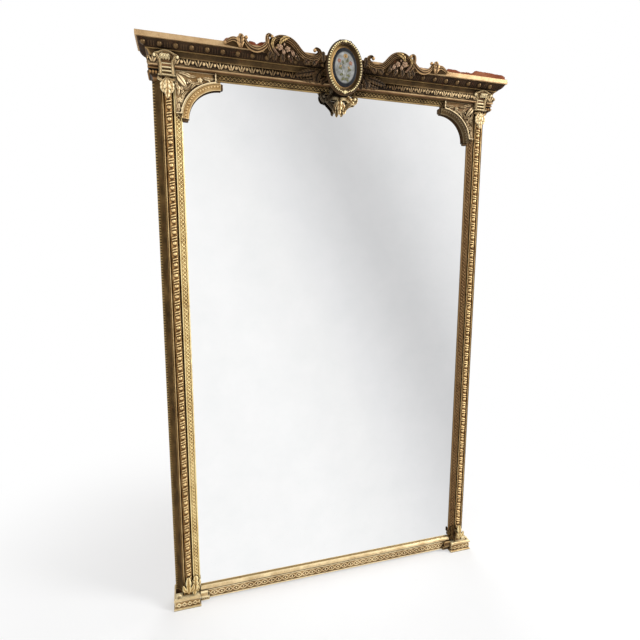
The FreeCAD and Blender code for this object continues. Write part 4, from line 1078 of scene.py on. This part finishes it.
def carve_spandrel(clay, side):
    """The leaves, curl, flowers and berries of a spandrel's field."""
    for spine, width, lift, lobes in (
        ([(474, 57, 1621), (467, 61, 1612), (459, 62, 1602), (449, 58, 1590)], 16, 5.5, 1),
        ([(467, 57, 1626), (452, 58, 1625), (438, 58, 1620), (422, 58, 1620)], 10, 4, 3),
        ([(403, 57, 1619), (394, 58, 1617), (386, 58, 1617), (371, 57, 1620)], 10, 4, 3),
        ([(475, 57, 1606), (474, 58, 1594), (470, 58, 1582), (472, 58, 1566)], 10, 4, 3),
        ([(470, 57, 1546), (472, 58, 1538), (471, 58, 1532), (474, 57, 1520)], 9, 4, 3),
        ([(437, 57, 1588), (426, 58, 1600), (414, 58, 1603), (400, 58, 1608)], 8, 3.6, 3),
        ([(447, 57, 1580), (457, 58, 1570), (460, 58, 1560), (463, 58, 1544)], 8, 3.6, 3),
        ([(446, 57, 1612), (440, 58, 1607), (434, 58, 1603), (425, 58, 1606)], 8, 4, 2),
        ([(462, 57, 1593), (462, 58, 1586), (460, 58, 1579), (465, 58, 1572)], 8, 4, 2),
    ):
        leaf(clay, spots(side, spine), width, lift, lobes=lobes, rows=34, columns=13)
    curl = [(463, 57, 1597), (456, 58, 1588), (447, 58, 1587), (440, 58, 1594), (434, 58, 1606)]
    scroll(clay, spots(side, curl), (4, 6, 7, 6, 4), (4, 5, 5, 4), flutes=1, rows=40, columns=13)
    for centre in spots(side, [(412, 58, 1612), (468, 58, 1555)]):
        flower(clay, centre, 7)
    for centre in spots(side, [(446, 59, 1602), (386, 59, 1611), (464, 59, 1533)]):
        knob(clay, centre, (3, 3, 3), rows=7, ring=12)


def make_medallion():
    """The oval: a dark roll, a row of gold beads, a cove and a glazed plaque with a spray of flowers."""
    middle = 1675
    roll = Profile((
        (-11, 100.4, 0, 2), (-11, 110.4, 0, 1), (-10, 111.4, 0, 3), (-5, 111.4, 0, 1), (-4.4, 111, 0.24, 12),
        (-0.7, 103.6, 0, 2), (-0.7, 100.4, 0, 3),
    ))
    clay = Clay()
    oval_band(clay, 58, 76.9, roll)
    for top in (-1, 1):
        for bend in (-1, 0, 1):
            spine = [(7 * bend, 110, 60 * top), (13 * bend, 112, 66 * top), (20 * bend, 110.5, 70 * top)]
            leaf(clay, spots(1, spine, base=middle), 11, 3, lobes=2, rows=20, columns=9)
    clay.model("medallion_roll", UMBER, "dark_gilt", "medallion_ring")

    clay = Clay()
    beads_round = 58
    for turn in np.arange(beads_round) * 2 * math.pi / beads_round:
        centre = at(1, 50.6 * math.cos(turn), 111.6, MEDALLION.z / MM + 69.6 * math.sin(turn))
        knob(clay, centre, (2.7, 2.7, 3.5), rows=7, ring=10)
    for top, size in ((-1, 5.4), (1, 4.4)):
        knob(clay, at(1, 0, 112, middle + top * 69), (size, size, 4))
    clay.model("medallion_beads", GOLD_LEAF, "bright_gilt")

    clay = Clay()
    cove = Profile((
        (-9.4, 106.4, 0, 2), (-9.4, 107.4, 0, 1), (-8.8, 107.6, -0.16, 9), (-0.6, 113.2, 0, 1),
        (0.4, 113.2, 0, 2), (0.4, 106.4, 0, 3),
    ))
    oval_band(clay, 46.8, 65.8, cove)
    clay.model("medallion_hollow", RIM, "olive_gilt", "medallion_cove")

    clay = Clay()
    climb = np.linspace(0, 0.96, 14) * math.pi / 2
    share = np.concatenate([[1.0, 1.0], np.cos(climb)])[:, None]
    depth = np.concatenate([[106.4, 107.6], 107.6 + 1.4 * np.sin(climb)])[:, None]
    steps = 96
    turn = np.arange(steps) * 2 * math.pi / steps
    wide, tall = PLAQUE_HALF
    clay.add(*loft(at(1, share * np.cos(turn) * wide, depth, MEDALLION.z / MM + share * np.sin(turn) * tall)))
    clay.model("painted_plaque", PLAQUE, "plaque", "medallion_plaque")
    make_spray()


def make_spray():
    """The plaque's painted design: a spray of three stems with leaves and five blossoms, in thin enamel."""
    green, ochre, pink = Clay(), Clay(), Clay()
    face = 108.6
    for bend, tall, reach in ((-1, 1692, 17), (0, 1706, 2), (1, 1688, 18)):
        stem = [(bend * 2, face, 1640), (reach * bend * 0.4, face, 1662), (reach * bend or 2, face, tall)]
        scroll(green, spots(1, stem), (2.6, 2.0, 1.6), (0.5,), flutes=0, rows=24, columns=7)
    for x, z, turn in (
        (-9, 1667, 2.5), (10, 1665, 0.5), (-4, 1655, 3.4), (5, 1654, -0.3),
        (-2, 1683, 2.3), (4, 1688, 0.9), (-1, 1646, 3.9), (3, 1645, -0.8),
    ):
        tip = (x + 12 * math.cos(turn), face, z + 12 * math.sin(turn))
        spine = [(x, face, z), ((x + tip[0]) / 2, face, (z + tip[2]) / 2 + 1.5), tip]
        leaf(green, spots(1, spine), 7.5, 0.5, lobes=1, rows=14, columns=7)
    dot = {"rows": 6, "ring": 10}
    for clay, x, z, radius in (
        (ochre, 2, 1706, 6.4), (pink, -17, 1692, 5.8), (pink, 18, 1688, 6.0),
        (ochre, -13, 1677, 4.2), (ochre, 12, 1675, 4.0),
    ):
        for step in range(5):
            turn = step * 2 * math.pi / 5 + x
            petal = at(1, x + 0.6 * radius * math.cos(turn), face, z + 0.6 * radius * math.sin(turn))
            knob(clay, petal, (radius * 0.5, radius * 0.5, 0.5), **dot)
        heart = green if clay is ochre else ochre
        knob(heart, at(1, x, face + 0.2, z), (radius * 0.3, radius * 0.3, 0.6), **dot)
    green.model("spray_leaves", LEAF_GREEN, "plaque")
    ochre.model("spray_ochre", OCHRE, "plaque")
    pink.model("spray_pink", PINK, "plaque")


def make_pendant():
    """The leaf drop under the medallion, close to the glass."""
    wing = [
        (47, 57, 1618), (54, 58, 1611), (55, 58, 1602), (49, 58, 1595), (42, 58, 1600),
        (36, 58, 1592), (28, 59, 1584), (20, 59, 1574), (13, 60, 1562),
    ]
    upper = [(16, 57, 1618), (26, 58, 1608), (36, 60, 1598), (46, 63, 1590)]
    lower = [(8, 58, 1594), (14, 59, 1580), (17, 60, 1569), (14, 63, 1558)]
    middle = [(0, 57, 1616), (0, 59, 1596), (0, 60, 1576), (0, 63, 1556)]
    clay = Clay()
    for side, _ in SIDES:
        scroll(clay, spots(side, wing), (8, 12, 12, 13, 14, 13, 10, 8), (5, 6, 6.5, 6.5, 6, 5), flutes=2)
        leaf(clay, spots(side, upper), 19, 4.5, lobes=3, rows=30)
        leaf(clay, spots(side, lower), 13, 4, lobes=3, rows=30)
        knob(clay, at(side, 50, 60, 1605), (6, 6, 5))
    leaf(clay, spots(1, middle), 19, 5, lobes=4)
    box(clay, (-30, 55, 1600), (30, 60, 1634), soft=0.5)
    clay.model("pendant_leaves", DROP, "bright_gilt", "pendant")


def on_crest(side, path):
    """Crest places from (across, height over the cornice, lift if any) in millimetres."""
    face = 104
    return spots(side, [(x, face + sum(lift), z) for x, z, *lift in path], base=CREST_BASE)


def make_crest():
    """Each half of the crest: a scrolled stem, an acanthus hood over a few blossoms, and smaller scrolls."""
    for side, hand in SIDES:
        make_crest_ground(side, hand)
        make_crest_scrolls(side, hand)
        make_crest_fronds(side, hand)
        make_crest_roses(side, hand)
        make_crest_foliage(side, hand)


def make_crest_ground(side, hand):
    """The board that the crest's carving lies on, dark with painted shade."""
    across = np.linspace(63, 348, 120)
    top = np.interp(across, (
        63, 80, 92, 108, 124, 140, 156, 172, 190, 206, 218, 230, 240, 254, 268, 278, 286, 296, 312, 330, 348,
    ), (2, 4, -6, -13, -9, 5, 20, 28, 29, 27, 24, 8, -5, -12, -10, -2, 6, 10, 6, 0, -6))
    foot = np.interp(across, (
        63, 80, 110, 140, 170, 200, 226, 240, 270, 300, 330, 348,
    ), (-22, -24, -26, -26, -29, -27, -20, -13, -12, -13, -10, -6))
    clay = Clay()
    strip(clay, side, [(across, depth, CREST_BASE + edge) for depth, edge in (
        (100.4, foot), (103.6, foot), (104.6, foot + 1), (104.6, top - 1), (103.6, top), (100.4, top),
    )])
    clay.model(f"{hand}_crest_ground", SHADE, "dark_gilt", f"{hand}_crest")


def make_crest_scrolls(side, hand):
    """The long stem with its scrolls, and two bright leaves over its crown."""
    clay = Clay()
    stem = [
        (92, 6), (86, 10), (77, 5), (76, -6), (85, -15), (100, -18), (118, -15), (134, -4), (148, 11),
        (162, 21), (178, 25), (194, 24), (207, 17), (213, 7), (209, -2), (202, -4),
    ]
    widths = (6, 9, 12, 15, 17, 17, 17, 17, 17, 17, 16, 13, 9, 6)
    scroll(clay, on_crest(side, stem), widths, (5, 7, 8, 9, 9, 9, 9, 9, 9, 8, 7), flutes=2, rows=150)
    edge = [(214, 25), (221, 29), (227, 26), (228, 16), (225, 4), (219, -10), (211, -22)]
    scroll(clay, on_crest(side, edge), (6, 9, 11, 12, 12, 10, 7), (5, 7, 8, 7, 6, 5), flutes=1)
    dip = [(225, 12), (234, -1), (246, -10), (260, -14), (275, -10), (286, 0), (291, 11), (286, 16)]
    scroll(clay, on_crest(side, dip), (9, 13, 14, 14, 12, 9, 6), (6, 8, 8, 8, 7, 5), flutes=1)
    leaf(clay, on_crest(side, [(302, -14), (303, -2, 2), (303, 9, 3), (298, 19, 6)]), 24, 6, lobes=3)
    tail = [(300, -10), (312, 4), (324, 6), (336, 0), (346, -7)]
    scroll(clay, on_crest(side, tail), (10, 13, 12, 9, 6), (6, 7, 6, 5, 3), flutes=1)
    for x, z, size in ((91, 5, 5), (215, 25, 5), (287, 14, 5), (204, -3, 4), (345, -6, 4)):
        knob(clay, *on_crest(side, [(x, z, 2)]), (size, size, 5))
    clay.model(f"{hand}_crest_scrolls", STEM, "dark_gilt")

    clay = Clay()
    for spine, width in (
        ([(166, 28, 3), (178, 24, 6), (188, 17, 7), (195, 6, 6)], 13),
        ([(204, 22, 3), (212, 16, 6), (216, 4, 7), (212, -8, 6)], 8),
    ):
        leaf(clay, on_crest(side, spine), width, 4, lobes=4, rows=44, columns=11)
    clay.model(f"{hand}_crest_crowns", OLIVE, "bright_gilt")


def make_crest_fronds(side, hand):
    """The leaves that hang from the stem, dark with painted shade."""
    clay = Clay()
    for start, high, stop, deep, spread in (
        (150, -8, 138, -29, 15), (166, -12, 158, -36, 16), (184, -14, 184, -38, 17), (202, -14, 210, -36, 16),
        (216, -12, 224, -31, 15), (104, -20, 122, -35, 20), (82, -16, 98, -36, 19), (64, -24, 66, 4, 18),
    ):
        frond = [(start, high), ((start + stop) / 2 + 2, (high + deep) / 2, 2), (stop, deep, 4)]
        leaf(clay, on_crest(side, frond), spread, 5, lobes=3, rows=34)
    clay.model(f"{hand}_crest_fronds", UMBER, "dark_gilt")


def make_crest_roses(side, hand):
    """The blossoms, buds and ribbon under the stem's crown."""
    clay = Clay()
    flower(clay, *on_crest(side, [(194, 0, 3)]), 9, petals=6, turn=0.2)
    flower(clay, *on_crest(side, [(171, -3, 3)]), 8, petals=5, turn=0.4)
    for x, z, long, lean in ((157, -12, 8, 0.5), (183, -12, 7, 0.2)):
        bud = [(x + lean * long, z + long, 1), (x, z, 4), (x - lean * long * 0.6, z - long, 3)]
        leaf(clay, on_crest(side, bud), 9, 5, lobes=1, rows=22, columns=11, crease=0.1)
    ribbon = [(214, 8, 4), (212, -4, 4), (205, -14, 4), (196, -22, 4)]
    scroll(clay, on_crest(side, ribbon), (6, 7, 6, 4), (5, 5, 4), flutes=1, rows=30, columns=11)
    for centre in on_crest(side, [(148, -20, 4), (168, -22, 4), (181, 9, 4)]):
        knob(clay, centre, (3, 4, 3))
    clay.model(f"{hand}_crest_roses", ROSE, "bright_gilt")


def make_crest_foliage(side, hand):
    """The leaves beside the medallion, in front of the frieze, dark with painted shade."""
    clay = Clay()
    for spine, width, lobes in (
        ([(60, 79, 1674), (74, 81, 1658), (80, 82, 1644), (78, 84, 1631)], 26, 5),
        ([(76, 79, 1666), (98, 82, 1660), (118, 82, 1655), (142, 80, 1650)], 24, 7),
        ([(50, 79, 1648), (59, 81, 1641), (62, 82, 1635), (60, 83, 1629)], 16, 4),
        ([(70, 79, 1650), (88, 81, 1642), (104, 81, 1638), (120, 79, 1639)], 16, 5),
    ):
        leaf(clay, spots(side, spine), width, 5, lobes=lobes)
    clay.model(f"{hand}_crest_foliage", UMBER, "dark_gilt", f"{hand}_crest_leaf")


def make_backboard():
    """The worn board behind the crest: its gilding has broken away at the top, down to the red ground."""
    low, high = (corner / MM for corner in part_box("crest_backboard"))
    front = WALL / MM - low.y
    dice = random.Random(11)
    clay = Clay()
    for side, end, places, heights in (
        (
            -1, -low.x, (146, 168, 222, 236, 246, 258, 264, 276, 286, 322, 330, 342, 348),
            (3, 20, 20, 12, 11, 4, 9, 10, 2, 2, 12, 9, 2),
        ),
        (
            1, high.x, (146, 168, 222, 236, 340, 352, 380, 396, 420, 440, 452, 500, 555, 565),
            (3, 20, 20, 2, 2, 10, 9, 5, 7, 6, 15, 14, 12, 9),
        ),
    ):
        across = np.linspace(places[0], end, 260)
        ragged = np.array([dice.uniform(-0.8, 0.8) for _ in across])
        height = np.maximum(np.interp(across, places, heights) + ragged, 0.8)
        strip(clay, side, [(across, front - inset, low.z + height * part) for inset, part in (
            (12, 0), (1, 0), (1.5, 0.6), (3, 1), (12, 0.9),
        )])
    clay.model("worn_backboard", BOLE, "red_bole", "crest_backboard")


make_jambs()
make_sight()
make_entablature()
make_sill()
make_plinths()
make_foot_leaves()
make_consoles()
make_spandrels()
make_medallion()
make_pendant()
make_crest()
make_backboard()


# Stage

def seen_rays(tree):
    """1 for the rays that show a background: to the camera, off metal and through glass."""
    path = node(tree, "LightPath").outputs
    shown = maths(tree, "MAXIMUM", path["Is Glossy Ray"], path["Is Transmission Ray"])
    return maths(tree, "MAXIMUM", path["Is Camera Ray"], shown)


def show(tree, output, share, first, second):
    """Mixes two shaders into a tree's output."""
    mixed = node(tree, "MixShader", Fac=share)
    tree.links.new(first.outputs[0], mixed.inputs[1])
    tree.links.new(second.outputs[0], mixed.inputs[2])
    tree.links.new(mixed.outputs[0], tree.nodes[output].inputs["Surface"])


def make_floor():
    """A pale floor that shades into the white background away from the mirror."""
    mesh = bpy.data.meshes.new("floor")
    size = 30.0
    corners = [(-size, -size, 0), (size, -size, 0), (size, size, 0), (-size, size, 0)]
    mesh.from_pydata(corners, [], [(0, 1, 2, 3)])
    floor = bpy.data.objects.new("floor", mesh)
    floor.visible_glossy = False
    bpy.context.scene.collection.objects.link(floor)
    material, tree, shader = tree_of("pale_floor")
    place = node(tree, "TexCoord").outputs["Object"]
    tone = ramp(tree, noise(tree, place, 3.0), ((0.3, (246, 246, 246)), (0.7, (250, 250, 250))))
    wire(tree, shader, Base_Color=tone, Roughness=0.9)
    glow = node(tree, "Emission", Color=rgb(*WHITE), Strength=1.0)
    away = node(tree, "VectorMath", {"operation": "LENGTH"}, Vector=place).outputs["Value"]
    far = node(
        tree, "MapRange", {"interpolation_type": "SMOOTHSTEP"},
        Value=away, From_Min=0.5, From_Max=1.7, To_Min=0.5,
    ).outputs["Result"]
    show(tree, "Material Output", maths(tree, "MULTIPLY", seen_rays(tree), far), shader, glow)
    mesh.materials.append(material)


def make_world():
    """A white studio; metal and glass see a soft grey band across it."""
    world = bpy.data.worlds.new("studio")
    bpy.context.scene.world = world
    world.use_nodes = True
    tree = world.node_tree
    back = wire(tree, tree.nodes["Background"], Color=rgb(*WHITE), Strength=0.3)
    way = node(tree, "TexCoord").outputs["Generated"]
    off = node(tree, "VectorMath", {"operation": "DOT_PRODUCT"}, Vector=way)
    band_axis = (0.817, 0.384, 0.429)
    off.inputs[1].default_value = band_axis
    band = ramp(tree, maths(tree, "ABSOLUTE", off.outputs["Value"]), (
        (0.0, (213, 213, 214)), (0.03, (215, 215, 216)), (0.08, (225, 225, 226)), (0.14, (237, 237, 238)),
        (0.21, (247, 247, 247)), (0.34, WHITE),
    ))
    glossy = node(tree, "LightPath").outputs["Is Glossy Ray"]
    seen = node(tree, "Background", Color=blend(tree, glossy, rgb(*WHITE), band), Strength=1.0)
    show(tree, "World Output", seen_rays(tree), back, seen)


def make_lamp(name, place, target, size, power):
    light = bpy.data.lights.new(name, "AREA")
    light.shape = "DISK"
    light.size = size
    light.energy = power
    lamp = bpy.data.objects.new(name, light)
    lamp.location = place
    lamp.rotation_euler = (Vector(target) - Vector(place)).to_track_quat("-Z", "Y").to_euler()
    bpy.context.scene.collection.objects.link(lamp)


def make_camera():
    """The photograph's view: its place and turns were solved from the corners of the frame."""
    place = (-0.4696, -1.3712, 1.1262)
    turn = Matrix.Identity(3)
    for angle, axis in ((-2.26, "Z"), (-16.51, "Y"), (8.53, "X")):
        turn = turn @ Matrix.Rotation(math.radians(angle), 3, axis)
    turn = turn @ Matrix(((1, 0, 0), (0, 0, -1), (0, 1, 0)))
    axes = Matrix((turn[0], -turn[1], -turn[2])).transposed()
    lens = bpy.data.cameras.new("camera")
    lens.sensor_width = 36.0
    lens.lens = 25.04
    camera = bpy.data.objects.new("camera", lens)
    camera.matrix_world = Matrix.Translation(place) @ axes.to_4x4()
    bpy.context.scene.collection.objects.link(camera)
    bpy.context.scene.camera = camera


make_floor()
make_world()
make_lamp("key", (3.6, -2.2, 3.4), (0, 0, 1.0), 1.6, 190)
make_lamp("fill", (-2.2, -2.2, 1.8), (0, 0, 1.0), 1.8, 22)
make_lamp("rear", (0.6, 2.4, 2.4), (0, 0, 0.9), 1.8, 45)
make_camera()
bpy.context.scene.view_settings.view_transform = "Standard"
